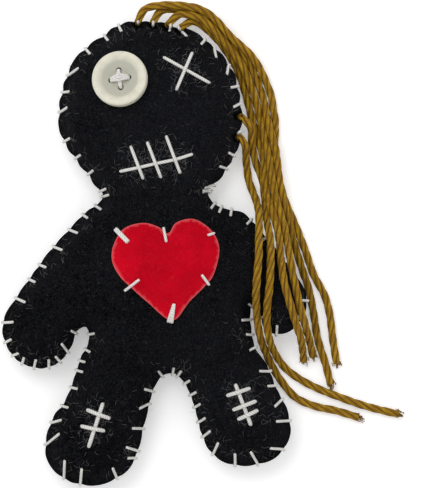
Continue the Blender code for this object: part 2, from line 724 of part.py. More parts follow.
def face_outwards(bm):
    """Merges what a cut left too close together, and turns every face out."""
    bmesh.ops.remove_doubles(bm, verts=bm.verts, dist=GAP / 10)
    bmesh.ops.triangulate(bm, faces=[f for f in bm.faces if len(f.verts) > 4])
    bmesh.ops.recalc_face_normals(bm, faces=bm.faces)
    if bm.calc_volume(signed=True) < 0:
        bmesh.ops.reverse_faces(bm, faces=bm.faces)


def keep_island(bm, place):
    """Removes every separate part of a mesh but the one nearest a place."""
    nearest = min(bm.verts, key=lambda v: (v.co.xy - place).length)
    island = {nearest}
    edge_of_search = [nearest]
    while edge_of_search:
        vert = edge_of_search.pop()
        for edge in vert.link_edges:
            other = edge.other_vert(vert)
            if other not in island:
                island.add(other)
                edge_of_search.append(other)
    bmesh.ops.delete(bm, geom=[v for v in bm.verts if v not in island], context="VERTS")


def stuffing_block(loop, trees):
    """The whole space inside the felt, as one closed mesh."""
    inset = inset_loop(loop, STUFFING_INSET, STUFFING_STEP)
    points, faces = flat_mesh(inset, STUFFING_STEP, STUFFING_STEP * 0.4)
    bm = bmesh.new()
    wall = FELT + STUFFING_CLEARANCE
    turn = [math.radians(45 * k) for k in range(8)]
    around = [Vector((0, 0))] + [Vector((wall * math.cos(a), wall * math.sin(a))) for a in turn]
    layers = [[], []]
    for point in points:
        low = max(back_height(trees, point + step) for step in around) + wall
        high = min(front_height(trees, point + step) for step in around) - wall
        layers[0].append(bm.verts.new((point.x, point.y, min(low, SEAM_HEIGHT - GAP))))
        layers[1].append(bm.verts.new((point.x, point.y, max(high, SEAM_HEIGHT + GAP))))
    for face in faces:
        bm.faces.new([layers[0][i] for i in face])
        bm.faces.new([layers[1][i] for i in face])
    count = len(inset)
    for i in range(count):
        n = (i + 1) % count
        bm.faces.new((layers[0][i], layers[0][n], layers[1][n], layers[1][i]))
    face_outwards(bm)
    return bm


def make_stuffing(loop, trees, pivots, finish):
    """Fibre filling in six parts, one for each part of the frame, with room round the joints."""
    block = stuffing_block(loop, trees)
    torso_bm = block.copy()
    for name, limb in LIMBS.items():
        start, across = fold_plane(limb.fold, limb.tip)
        cut_away(torso_bm, (start - across * GAP).to_3d(), across.to_3d())
        lump = block.copy()
        begin = at(limb.joint) + across * JOINT_ROOM
        cut_away(lump, begin.to_3d(), -across.to_3d())
        keep_island(lump, at(limb.tip))
        face_outwards(lump)
        obj = mesh_object(f"stuffing_{name}", lump, finish, pivots[name], smooth=False)
        centre, elbow, end, facing = bone_points(limb)
        deepest = end + (end - elbow).normalized() * BONE_CHANNEL
        wide = BONE_RADIUS * 1.15 + BONE_CHANNEL
        stud_channel = rod(centre, elbow + facing * wide, wide)
        boolean(obj, helper(f"{name}_stud_channel", stud_channel), "DIFFERENCE")
        boolean(obj, helper(f"{name}_channel", rod(elbow, deepest, wide)), "DIFFERENCE")
    block.free()
    face_outwards(torso_bm)
    torso = mesh_object("stuffing_torso", torso_bm, finish, smooth=False)
    top, bottom = at(SPINE_TOP, FRAME_HEIGHT), at(SPINE_BOTTOM, FRAME_HEIGHT)
    room = SPINE_RADIUS * 1.5 + BONE_CHANNEL
    for name, place in (("chest_room", top), ("pelvis_room", bottom)):
        boolean(torso, helper(name, ball(place, room * 1.08, 8)), "DIFFERENCE")
    boolean(torso, helper("spine_channel", rod(top, bottom, SPINE_RADIUS + BONE_CHANNEL)), "DIFFERENCE")
    for name, limb in LIMBS.items():
        carrier = at(limb.carrier, FRAME_HEIGHT)
        centre = at(limb.joint, FRAME_HEIGHT)
        channel = rod(carrier, centre, BONE_RADIUS + BONE_CHANNEL)
        boolean(torso, helper(f"{name}_strut_channel", channel), "DIFFERENCE")
        room = ball(centre, SOCKET_RADIUS + 2 * BONE_CHANNEL)
        boolean(torso, helper(f"{name}_socket_room", room), "DIFFERENCE")


def surface_plane(trees, centre, reach):
    """Height and normal of the plane that best fits the front round a place."""
    east = Vector((reach, 0))
    north = Vector((0, reach))
    rise_x = front_height(trees, centre + east) - front_height(trees, centre - east)
    rise_y = front_height(trees, centre + north) - front_height(trees, centre - north)
    normal = Vector((-rise_x, -rise_y, 2 * reach)).normalized()
    return front_height(trees, centre), normal


def make_button(trees, finish, thread):
    """The eye: a four-hole button laid on the face, and the thread that crosses it."""
    radius = BUTTON_DIAMETER / 2
    dish = radius - BUTTON_RIM_WIDTH
    chamfer = BUTTON_THICKNESS * 0.22
    profile = [
        (0.0, BUTTON_THICKNESS - BUTTON_RECESS),
        (dish - chamfer, BUTTON_THICKNESS - BUTTON_RECESS),
        (dish, BUTTON_THICKNESS - BUTTON_RECESS * 0.25),
        (dish + chamfer, BUTTON_THICKNESS),
        (radius - chamfer, BUTTON_THICKNESS),
        (radius, BUTTON_THICKNESS - chamfer),
        (radius - chamfer, chamfer * 0.5),
        (radius - 3 * chamfer, 0.0),
        (0.0, 0.0),
    ]
    centre = at(BUTTON_CENTRE)
    height, normal = surface_plane(trees, centre, radius * 0.6)
    tilt = Vector((0, 0, 1)).rotation_difference(normal).to_matrix().to_4x4()
    seat = Vector((centre.x, centre.y, height)) + normal * (GAP * 2)
    place = Matrix.Translation(seat) @ tilt @ Matrix.Rotation(BUTTON_TURN, 4, "Z")
    bm = lathe(profile, BUTTON_SIDES)
    bmesh.ops.transform(bm, matrix=place, verts=bm.verts)
    button = mesh_object("eye_button", bm, finish)
    reach = BUTTON_HOLE_CIRCLE / 2
    above = BUTTON_THICKNESS - BUTTON_RECESS
    for number in range(4):
        angle = math.pi / 2 * number
        spot = Vector((reach * math.cos(angle), reach * math.sin(angle), 0))
        through = Vector((0, 0, BUTTON_THICKNESS * 1.5))
        cutter = rod(spot - through, spot + through, BUTTON_HOLE / 2)
        bmesh.ops.transform(cutter, matrix=place, verts=cutter.verts)
        boolean(button, helper(f"button_hole_{number}", cutter), "DIFFERENCE")
    crest = above + GAP + BUTTON_THREAD / 2
    profile = ((-1.0, 0.4), (-1.0, 0.75), (-0.8, 1.0), (0.8, 1.0), (1.0, 0.75), (1.0, 0.4))
    strands = []
    for number, (dx, dy) in enumerate(((1, 0), (0, 1))):
        line = [place @ Vector((reach * s * dx, reach * s * dy, crest * z)) for s, z in profile]
        strands.append(strand_mesh(line, BUTTON_THREAD))
    cross = mesh_object("button_thread", strands[0], thread)
    boolean(cross, helper("button_thread_second", strands[1]), "UNION")


def strand_mesh(line, diameter, sides=6):
    """A round thread along a few points, as a mesh."""
    bm = bmesh.new()
    rings = []
    side = None
    for i, point in enumerate(line):
        along = (line[min(i + 1, len(line) - 1)] - line[max(i - 1, 0)]).normalized()
        if side is None:
            side = along.orthogonal().normalized()
        side = (side - along * side.dot(along)).normalized()
        other = along.cross(side)
        turn = [2 * math.pi * k / sides for k in range(sides)]
        around = [(side * math.cos(a) + other * math.sin(a)) * (diameter / 2) for a in turn]
        rings.append([bm.verts.new(point + step) for step in around])
    for first, second in zip(rings, rings[1:]):
        for k in range(sides):
            n = (k + 1) % sides
            bm.faces.new((first[k], first[n], second[n], second[k]))
    bm.faces.new(rings[0])
    bm.faces.new(rings[-1])
    bmesh.ops.recalc_face_normals(bm, faces=bm.faces)
    return bm


def yarn_lines():
    return [[at(point[:2], point[2] / 1000) for point in points] for points in YARNS]


def make_yarns(finish):
    """The hair: loose strands rooted at the edge of the head, which lie beside it and over the right arm."""
    for number, points in enumerate(yarn_lines(), 1):
        tube(f"yarn_{number}", evenly(hermite(points, False), YARN_STEP, False), YARN, finish, None, 2)


def main():
    clear_scene()
    felt = material("black_felt", BLACK, 0.95)
    thread = material("cotton_thread", OFF_WHITE, 0.8)
    fill = material("fibrefill", FIBREFILL, 1.0)
    plastic = material("frame_plastic", PLASTIC, 0.45)
    loop = evenly(hermite([at(p) for p in BODY_EDGE], True), EDGE_STEP, True)
    trees = make_panels(loop, felt)
    make_yarns(material("yarn_mustard", MUSTARD, 0.9))
    roots = [line[0].xy for line in yarn_lines()]
    make_whip_stitch(loop, trees, roots + [at(NO_STITCH_AT)], thread)
    pivots = make_frame(plastic)
    make_stuffing(loop, trees, pivots, fill)
    make_button(trees, material("button_ivory", IVORY, 0.3), thread)
    make_stitches(trees, thread)
    make_heart(trees, material("red_felt", RED, 0.95), thread)


main()
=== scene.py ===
"""Voodoo doll of whip-stitched black felt, with a button eye, a red heart and mustard yarn hair.

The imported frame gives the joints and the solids. This scene dresses them: felt skins cut at the
neck, shoulders and hips, hand stitches, a four-hole button, a felt heart and six plied strands.
Places read from the reference picture are in its pixels and go through place(), in metres.
"""

import logging
import math
from dataclasses import dataclass, field
from enum import Enum

import bpy
import numpy as np
from mathutils import Matrix, Vector, noise
from mathutils.bvhtree import BVHTree
from mathutils.geometry import delaunay_2d_cdt


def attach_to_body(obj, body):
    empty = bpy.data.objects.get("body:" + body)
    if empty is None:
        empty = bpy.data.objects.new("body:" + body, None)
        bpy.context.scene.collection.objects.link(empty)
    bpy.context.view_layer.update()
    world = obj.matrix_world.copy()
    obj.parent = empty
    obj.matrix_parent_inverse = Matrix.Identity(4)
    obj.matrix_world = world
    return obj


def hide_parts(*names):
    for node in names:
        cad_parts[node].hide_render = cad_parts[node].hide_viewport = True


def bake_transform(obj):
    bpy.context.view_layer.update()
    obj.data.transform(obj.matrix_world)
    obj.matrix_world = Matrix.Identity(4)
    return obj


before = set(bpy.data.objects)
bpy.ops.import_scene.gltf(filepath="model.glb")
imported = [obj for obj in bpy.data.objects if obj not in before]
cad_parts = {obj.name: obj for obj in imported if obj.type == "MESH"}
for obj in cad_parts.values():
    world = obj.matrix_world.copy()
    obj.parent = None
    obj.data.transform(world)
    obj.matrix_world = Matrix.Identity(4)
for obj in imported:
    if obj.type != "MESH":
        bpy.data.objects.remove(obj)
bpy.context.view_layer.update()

LOG = logging.getLogger("voodoo_doll")

Colour = tuple[float, float, float]
Pixel = tuple[float, float]

# The picture: metres to a pixel, the doll's middle in it, and its frame
PIXEL = 0.00045
MIDDLE = (154.599, 254.253)
PICTURE = (440, 488)

# Felt and seam
FELT = 0.0012
SEAM_HEIGHT = 0.0110
SEAM_WIDTH = 0.0030
SEAM_GAP = 0.00006
FRONT_EDGE = 0.01230
BACK_EDGE = 0.00970
FRONT_RISE = 0.0200
BACK_DROP = 0.0250
ROUNDNESS = 0.40

# Points to each span of a smooth line, and the room round fixed edges, in grid steps
SPAN_POINTS = 12
RIM_ROOM = 0.6
CHAIN_ROOM = 0.55

# The membrane's solver: the most rounds, and the remainders at which it stops
SOLVER_ROUNDS = 900
SOLVER_SHARE = 1e-12
SOLVER_FLOOR = 1e-18

# Threads: the distance between points of a stitch's line, and how deep its ends sink
EDGE_STEP = 0.00115
STITCH_STEP = 0.0008
SINK = 0.0014

# Edge of the body, clockwise from the top of the head
BODY_EDGE = [
    (138, 20.5), (163, 22), (185, 27.5), (204, 37), (221, 52.5), (234, 72), (240.5, 95),
    (242.5, 122), (238, 150), (228, 169), (217, 184), (210, 197), (221, 206), (244, 213),
    (259, 228), (277, 250), (296, 275), (307, 296), (304, 316), (292, 330), (276, 335),
    (264, 328), (259, 315), (253, 306), (251, 311), (252, 330), (257, 350),
    (268, 366), (277, 388), (287, 408), (291, 430), (285, 448), (272, 460), (250, 466),
    (228, 464), (211, 453), (201, 434), (195, 411), (186, 387), (176, 376), (166, 375),
    (157, 383), (150, 404), (143, 432), (137, 456), (124, 474), (100, 485), (76, 484),
    (57, 474), (46, 457), (46, 437), (54, 415), (64, 402), (73, 380), (80, 357),
    (88, 342), (86, 327), (78, 331), (70, 350), (58, 364), (39, 369), (17, 361),
    (4, 341), (3, 320), (14, 300), (30, 277), (50, 250), (68, 230), (84, 213),
    (100, 199), (92, 182), (75, 160), (61, 137), (58, 112), (65, 78), (80, 52),
    (104, 34), (118, 24),
]

HEART_EDGE = [
    (168.4, 233.5), (176, 223), (192.8, 219), (208, 227), (217, 239), (219.3, 252.6),
    (213, 276), (204, 287), (190, 301), (172.8, 320), (147, 301), (128, 284),
    (120.6, 276.5), (113, 262), (113.5, 247), (124, 229), (143.6, 223), (159, 227),
]

# Whip stitches by region, as inner ends or as outer and inner ends
WHIP_STITCHES = {
    "head": [
        (138, 25), (154, 26), (171, 29), (177, 27, 186, 36), (203, 41), (214, 47, 216, 57),
        (227, 66, 227, 74), (234, 87), (240, 105, 236, 113), (240, 131, 234, 137), (232, 154),
        (225, 168, 219, 171), (212, 184, 205, 188), (212, 189, 203, 192),
        (210, 193, 203, 195.5), (121, 29), (106, 38), (90, 54),
        (67, 74, 78, 69), (63, 92, 68, 87), (61, 112, 67, 108), (66, 140), (77.5, 158), (91, 173),
        (106, 189), (109, 195),
    ],
    "left_arm": [
        (97, 207, 104, 205), (83, 215, 87.5, 218), (68.5, 230, 77.5, 233), (53, 246, 62, 250),
        (40, 264, 47, 263), (29, 279, 35, 282), (15, 299, 25, 302), (3, 322, 13, 322),
        (5, 343, 11, 339.5), (11.5, 357, 18, 353.5), (22, 364, 24, 358), (35.6, 365, 36, 360),
        (49, 367, 49, 360), (57, 358), (65, 351, 62, 344), (76, 333),
    ],
    "torso": [
        (90, 333), (86, 349), (81, 360), (80, 371), (159, 373), (173, 370), (181, 373),
        (242, 320), (245, 335, 250, 330), (250, 350), (232, 213), (220, 209), (213, 206),
    ],
    "left_leg": [
        (71, 387, 76, 386), (63, 405, 68, 401), (53, 424, 61, 420), (46, 445, 59, 434),
        (65, 478, 65, 461), (82, 481, 82, 469), (117, 478, 113, 468), (136, 458, 127, 465),
        (138, 450, 127, 447), (143, 429, 133, 428), (150, 404, 140, 408), (153, 391, 145, 389),
    ],
    "right_leg": [
        (190, 396, 193, 391), (195, 408, 200, 404), (200, 423, 205, 418), (203, 438, 210, 431),
        (213, 453, 218, 443), (235, 465, 235, 454), (259, 464, 251, 452), (283, 450, 271, 448),
        (288, 420, 277, 421), (281, 401, 275, 406), (274, 385, 268, 386), (268, 371, 260, 371),
        (187, 383),
    ],
    "right_arm": [
        (249, 307, 252, 312), (277, 326), (250, 222), (297, 316), (298, 300), (264, 240),
        (281, 262), (261, 318),
    ],
}

# Straight stitches on the front, as (start, end, layers of thread passed under it)
FACE_STITCHES = {
    "eye_stitch_long": ((164.5, 58.5), (209, 83.3), 0),
    "eye_stitch_short": ((192, 54), (176.8, 90), 1),
    "mouth_bar_left": ((131.5, 147.7), (143.3, 178.3), 1),
    "mouth_bar_middle": ((148, 143.6), (161, 177.2), 1),
    "mouth_bar_right": ((166.7, 137.4), (180, 172.7), 1),
}
MOUTH_LINE = [(121.3, 171.6), (141, 167.6), (156.5, 164), (175.4, 160), (191.7, 154.8)]
LEG_STITCHES = {
    "left_leg_stitch_long": ((103, 403.7), (89.4, 445.4), 0),
    "left_leg_stitch_upper": ((88.5, 409.7), (109.2, 417.5), 1),
    "left_leg_stitch_lower": ((82.5, 425.8), (103.7, 430), 1),
    "right_leg_stitch_long": ((235.8, 385), (250.4, 423.5), 0),
    "right_leg_stitch_upper": ((228, 394.8), (248.7, 388.2), 1),
    "right_leg_stitch_middle": ((234, 409), (254.7, 401), 1),
    "right_leg_stitch_lower": ((239, 418.4), (256.5, 410.3), 1),
}
HEART_STITCHES = [
    ((116.6, 229.7), (128, 241.4)),
    ((164, 228.5), (166.5, 241)),
    ((208.7, 235), (213.5, 233.5)),
    ((126, 290), (139, 280)),
    ((202.5, 275.5), (208.7, 284)),
    ((174.2, 304.5), (170.5, 321)),
]

# Strands of yarn from the edge of the head to their ends, in metres
YARN_ROUTES = [
    (
        (0.0409, 0.0528, 0.0110), (0.0409, 0.0487, 0.0090), (0.0411, 0.0442, 0.0055),
        (0.0416, 0.0388, 0.0026), (0.0425, 0.0330, 0.0026), (0.0443, 0.0280, 0.0040),
        (0.0458, 0.0240, 0.0075), (0.0468, 0.0195, 0.0125), (0.0470, 0.0150, 0.0169),
        (0.0470, 0.0100, 0.0195), (0.0468, 0.0051, 0.0235), (0.0468, -0.0003, 0.0264),
        (0.0461, -0.0093, 0.0277), (0.0456, -0.0161, 0.0270), (0.0456, -0.0210, 0.0228),
        (0.0459, -0.0260, 0.0192), (0.0463, -0.0309, 0.0168), (0.0472, -0.0359, 0.0155),
        (0.0483, -0.0399, 0.0112), (0.0501, -0.0444, 0.0056), (0.0528, -0.0503, 0.0023),
        (0.0569, -0.0570, 0.0019), (0.0636, -0.0647, 0.0019), (0.0726, -0.0687, 0.0019),
        (0.0812, -0.0705, 0.0019), (0.0920, -0.0737, 0.0019),
    ),
    (
        (0.0416, 0.0613, 0.0110), (0.0432, 0.0573, 0.0095), (0.0437, 0.0519, 0.0060),
        (0.0443, 0.0465, 0.0032), (0.0453, 0.0424, 0.0021), (0.0465, 0.0388, 0.0019),
        (0.0486, 0.0334, 0.0019), (0.0497, 0.0244, 0.0039), (0.0507, 0.0141, 0.0122),
        (0.0515, 0.0100, 0.0170), (0.0521, 0.0055, 0.0194), (0.0522, 0.0001, 0.0220),
        (0.0521, -0.0044, 0.0240), (0.0519, -0.0098, 0.0252), (0.0515, -0.0156, 0.0252),
        (0.0508, -0.0210, 0.0236), (0.0505, -0.0260, 0.0206), (0.0505, -0.0309, 0.0180),
        (0.0513, -0.0368, 0.0160), (0.0526, -0.0413, 0.0110), (0.0553, -0.0467, 0.0050),
        (0.0591, -0.0516, 0.0019), (0.0650, -0.0561, 0.0019), (0.0726, -0.0602, 0.0019),
        (0.0839, -0.0647, 0.0019), (0.0956, -0.0687, 0.0019), (0.1100, -0.0723, 0.0019),
    ),
    (
        (0.0132, 0.1044, 0.0110), (0.0168, 0.1049, 0.0100), (0.0204, 0.1036, 0.0088),
        (0.0240, 0.1009, 0.0075), (0.0300, 0.0947, 0.0058), (0.0372, 0.0832, 0.0035),
        (0.0414, 0.0708, 0.0019), (0.0440, 0.0604, 0.0019), (0.0462, 0.0532, 0.0020),
        (0.0482, 0.0465, 0.0030), (0.0495, 0.0402, 0.0041), (0.0499, 0.0334, 0.0054),
        (0.0514, 0.0244, 0.0082), (0.0548, 0.0132, 0.0134), (0.0560, 0.0069, 0.0162),
        (0.0564, 0.0028, 0.0172), (0.0571, -0.0048, 0.0196), (0.0582, -0.0125, 0.0230),
        (0.0605, -0.0210, 0.0220), (0.0630, -0.0291, 0.0182), (0.0647, -0.0345, 0.0169),
        (0.0657, -0.0377, 0.0145), (0.0663, -0.0408, 0.0100), (0.0668, -0.0440, 0.0060),
        (0.0672, -0.0480, 0.0025),
    ),
    (
        (0.0074, 0.1068, 0.0110), (0.0110, 0.1078, 0.0120), (0.0159, 0.1076, 0.0123),
        (0.0207, 0.1060, 0.0118), (0.0250, 0.1027, 0.0112), (0.0311, 0.0958, 0.0097),
        (0.0395, 0.0846, 0.0066), (0.0450, 0.0708, 0.0030), (0.0476, 0.0604, 0.0026),
        (0.0494, 0.0532, 0.0041), (0.0510, 0.0465, 0.0055), (0.0520, 0.0402, 0.0069),
        (0.0530, 0.0334, 0.0080), (0.0548, 0.0244, 0.0088), (0.0582, 0.0127, 0.0115),
        (0.0596, 0.0055, 0.0145), (0.0607, -0.0008, 0.0170), (0.0618, -0.0071, 0.0180),
        (0.0632, -0.0138, 0.0186), (0.0654, -0.0237, 0.0180), (0.0670, -0.0291, 0.0170),
        (0.0680, -0.0332, 0.0148), (0.0693, -0.0372, 0.0095), (0.0704, -0.0417, 0.0045),
        (0.0715, -0.0462, 0.0023),
    ),
    (
        (-0.0003, 0.1072, 0.0110), (0.0024, 0.1092, 0.0102), (0.0065, 0.1103, 0.0094),
        (0.0137, 0.1100, 0.0084), (0.0204, 0.1083, 0.0078), (0.0259, 0.1041, 0.0074),
        (0.0326, 0.0973, 0.0058), (0.0423, 0.0863, 0.0030), (0.0487, 0.0712, 0.0019),
        (0.0498, 0.0658, 0.0028), (0.0510, 0.0604, 0.0038), (0.0528, 0.0532, 0.0056),
        (0.0546, 0.0465, 0.0059), (0.0554, 0.0402, 0.0058), (0.0562, 0.0334, 0.0060),
        (0.0579, 0.0244, 0.0060), (0.0596, 0.0181, 0.0056), (0.0609, 0.0127, 0.0046),
        (0.0632, 0.0037, 0.0022), (0.0666, -0.0071, 0.0019), (0.0693, -0.0152, 0.0019),
        (0.0717, -0.0269, 0.0019), (0.0735, -0.0381, 0.0019), (0.0771, -0.0498, 0.0019),
        (0.0794, -0.0588, 0.0019),
    ),
    (
        (-0.0075, 0.1075, 0.0110), (-0.0048, 0.1099, 0.0122), (-0.0012, 0.1114, 0.0129),
        (0.0051, 0.1121, 0.0133), (0.0137, 0.1117, 0.0128), (0.0209, 0.1101, 0.0120),
        (0.0270, 0.1060, 0.0112), (0.0338, 0.0985, 0.0098), (0.0448, 0.0879, 0.0058),
        (0.0522, 0.0726, 0.0019), (0.0534, 0.0658, 0.0019), (0.0543, 0.0604, 0.0019),
        (0.0543, 0.0532, 0.0019), (0.0540, 0.0465, 0.0019), (0.0549, 0.0402, 0.0019),
        (0.0562, 0.0334, 0.0019), (0.0587, 0.0244, 0.0019), (0.0636, 0.0127, 0.0019),
        (0.0675, 0.0028, 0.0019), (0.0717, -0.0093, 0.0019), (0.0765, -0.0183, 0.0019),
        (0.0789, -0.0269, 0.0019), (0.0803, -0.0381, 0.0019), (0.0821, -0.0494, 0.0019),
    ),
]


class Side(Enum):
    """The two felt panels of the body."""

    FRONT = 1
    BACK = -1


class Region(Enum):
    """The six parts of the doll, each on a body of the frame."""

    TORSO = "torso"
    HEAD = "head"
    LEFT_ARM = "left_arm"
    RIGHT_ARM = "right_arm"
    LEFT_LEG = "left_leg"
    RIGHT_LEG = "right_leg"


@dataclass(frozen=True)
class Fold:
    """A line across the felt where a limb bends, and how far the bend reaches into the limb."""

    start: Pixel
    end: Pixel
    reach: float
    crease: float

    def across(self) -> Vector:
        """The horizontal direction from the torso into the limb."""
        a, b = place(self.start), place(self.end)
        normal = Vector((-(b - a).y, (b - a).x)).normalized()
        return normal if normal.dot(place(TORSO_CENTRE) - a) < 0 else -normal

    def is_beyond(self, pixel: Pixel) -> bool:
        """Whether a place in the picture lies on the limb's side of the fold."""
        return self.across().dot(place(pixel) - place(self.start)) > 0


TORSO_CENTRE = (169, 280)
FOLDS = {
    Region.HEAD: Fold((100, 200), (210, 198), 0.010, 0.0011),
    Region.LEFT_ARM: Fold((101, 201), (86, 327), 0.014, 0.0006),
    Region.RIGHT_ARM: Fold((211.5, 199), (250, 304), 0.014, 0.0004),
    Region.LEFT_LEG: Fold((166, 375), (80, 357), 0.016, 0.0011),
    Region.RIGHT_LEG: Fold((176, 376), (257, 350), 0.016, 0.0013),
}

# Where a fold's line alone can't part the limbs from the torso, in the picture
LEFT_ARMPIT_Y = 327
LEFT_HAND = (77, 373)
RIGHT_ARMPIT = (250, 304)
RIGHT_ARM_SLOPE = 0.25
RIGHT_HAND_Y = 342
LEGS_PART_X = 171

# Wrinkles in the front, as (places along them, depth, width)
WRINKLES = [
    (((92, 330), (108, 322), (122, 306)), 0.0010, 0.0022),
    (((90, 345), (112, 350), (135, 349)), 0.0007, 0.0028),
    (((104, 208), (112, 224), (112, 244)), 0.0007, 0.0026),
    (((206, 204), (201, 214), (203, 226)), 0.0008, 0.0022),
    (((196, 378), (214, 366), (238, 360)), 0.0008, 0.0016),
    (((122, 362), (142, 368), (160, 372)), 0.0007, 0.0016),
    (((262, 268), (268, 290), (262, 310)), 0.0006, 0.0024),
]


def place(pixel: Pixel) -> Vector:
    """A place in the picture, as a 2-D point in metres."""
    return Vector(((pixel[0] - MIDDLE[0]) * PIXEL, (MIDDLE[1] - pixel[1]) * PIXEL))


def to_pixel(point: np.ndarray) -> Pixel:
    """The place in the picture of a point in metres."""
    return (point[0] / PIXEL + MIDDLE[0], MIDDLE[1] - point[1] / PIXEL)


def region_at(pixel: Pixel) -> Region:
    """The part of the doll at a place in the picture."""
    x, y = pixel
    if FOLDS[Region.HEAD].is_beyond(pixel):
        return Region.HEAD
    in_hand = x < LEFT_HAND[0] and y < LEFT_HAND[1]
    if FOLDS[Region.LEFT_ARM].is_beyond(pixel) and (y < LEFT_ARMPIT_Y or in_hand):
        return Region.LEFT_ARM
    below = y - RIGHT_ARMPIT[1]
    in_hand = x > RIGHT_ARMPIT[0] + below * RIGHT_ARM_SLOPE and y < RIGHT_HAND_Y
    if FOLDS[Region.RIGHT_ARM].is_beyond(pixel) and (below < 0 or in_hand):
        return Region.RIGHT_ARM
    if FOLDS[Region.LEFT_LEG].is_beyond(pixel) and x < LEGS_PART_X:
        return Region.LEFT_LEG
    if FOLDS[Region.RIGHT_LEG].is_beyond(pixel) and x >= LEGS_PART_X:
        return Region.RIGHT_LEG
    return Region.TORSO


def smooth_line(points: list, closed: bool = False) -> list[Vector]:
    """Many points on the smooth line through a few.

    Args:
        points: the few points, in 2-D or 3-D.
        closed: whether the line returns to its start.

    Returns:
        SPAN_POINTS points for each span of the line.
    """
    knots = [Vector(p) for p in points]
    count = len(knots)
    dense = []
    for i in range(count if closed else count - 1):
        b, c = knots[i], knots[(i + 1) % count]
        a = knots[i - 1] if closed or i else b
        d = knots[(i + 2) % count] if closed or i + 2 < count else c
        length = (c - b).length
        leave = (c - a) / ((b - a).length + length)
        arrive = (d - b) / (length + (d - c).length)
        for s in np.arange(SPAN_POINTS) / SPAN_POINTS:
            dense.append(
                b * (2 * s**3 - 3 * s**2 + 1)
                + leave * (length * (s**3 - 2 * s**2 + s))
                + c * (3 * s**2 - 2 * s**3)
                + arrive * (length * (s**3 - s**2))
            )
    return dense if closed else dense + [knots[-1]]


def evenly(line: list, step: float, closed: bool = False) -> np.ndarray:
    """The same line with its points one step apart.

    Args:
        line: points of the line.
        step: the distance wanted between points.
        closed: whether the line returns to its start.

    Returns:
        The points as rows.
    """
    table = np.array([tuple(p) for p in line], float)
    if closed:
        table = np.vstack([table, table[:1]])
    run = np.concatenate([[0.0], np.cumsum(np.linalg.norm(np.diff(table, axis=0), axis=1))])
    pieces = max(3, round(run[-1] / step))
    wanted = np.linspace(0.0, run[-1], pieces + 1)
    wanted = wanted[:-1] if closed else wanted
    return np.stack([np.interp(wanted, run, column) for column in table.T], 1)


def traced(pixels: list[Pixel], step: float, closed: bool = False) -> np.ndarray:
    """The smooth line through places in the picture, in metres and with even points."""
    return evenly(smooth_line([place(p) for p in pixels], closed), step, closed)


def inside(loop: np.ndarray, points: np.ndarray) -> np.ndarray:
    """Which points lie inside a loop, by the crossings of a ray."""
    odd = np.zeros(len(points), bool)
    for a, b in zip(loop, np.roll(loop, -1, axis=0)):
        crosses = (a[1] > points[:, 1]) != (b[1] > points[:, 1])
        if crosses.any():
            x = a[0] + (b[0] - a[0]) * (points[:, 1] - a[1]) / (b[1] - a[1])
            odd ^= crosses & (points[:, 0] < x)
    return odd


def line_distance(points: np.ndarray, line: np.ndarray, closed: bool = False) -> np.ndarray:
    """How far each 2-D point is from a line of segments, or from a loop of them."""
    nearest = np.full(len(points), np.inf)
    line = np.vstack([line, line[:1]]) if closed else line
    for a, b in zip(line[:-1], line[1:]):
        span = b - a
        share = np.clip((points - a) @ span / max(span @ span, 1e-15), 0, 1)
        nearest = np.minimum(nearest, np.linalg.norm(points - a - share[:, None] * span, axis=1))
    return nearest


def flat_grid(
    loop: np.ndarray, step: float, chains: list[tuple[Vector, Vector]]
) -> tuple[np.ndarray, np.ndarray]:
    """Even triangles inside a loop, with fixed edges along chains across it.

    Args:
        loop: the outline, as rows.
        step: the distance between points.
        chains: the ends of each straight line that edges must follow.

    Returns:
        The 2-D points and the triangles, anticlockwise from above.
    """
    rows = np.arange(loop[:, 1].min(), loop[:, 1].max(), step * math.sqrt(0.75))
    columns = np.arange(loop[:, 0].min(), loop[:, 0].max(), step)
    x, y = np.meshgrid(columns, rows)
    x[1::2] += step / 2
    grid = np.stack([x.ravel(), y.ravel()], 1)
    grid = grid[inside(loop, grid)]
    grid = grid[line_distance(grid, loop, True) > step * RIM_ROOM]
    points = [Vector(p) for p in loop]
    edges = []
    for start, end in chains:
        a, b = (int(np.linalg.norm(loop - np.array(p), axis=1).argmin()) for p in (start, end))
        line = evenly([loop[a], loop[b]], step)
        grid = grid[line_distance(grid, line) > step * CHAIN_ROOM]
        first = len(points)
        points += [Vector(p) for p in line[1:-1]]
        ids = [a, *range(first, len(points)), b]
        edges += list(zip(ids[:-1], ids[1:]))
    points += [Vector(p) for p in grid]
    cut = delaunay_2d_cdt(points, edges, [list(range(len(loop)))], 1, 1e-8)
    flat = np.array([tuple(p) for p in cut[0]])
    faces = np.array([f for f in cut[2] if len(f) == 3])
    a, b, c = (flat[faces[:, k]] for k in range(3))
    up = (b - a)[:, 0] * (c - a)[:, 1] - (b - a)[:, 1] * (c - a)[:, 0] > 0
    faces[~up] = faces[~up][:, ::-1]
    return flat, faces


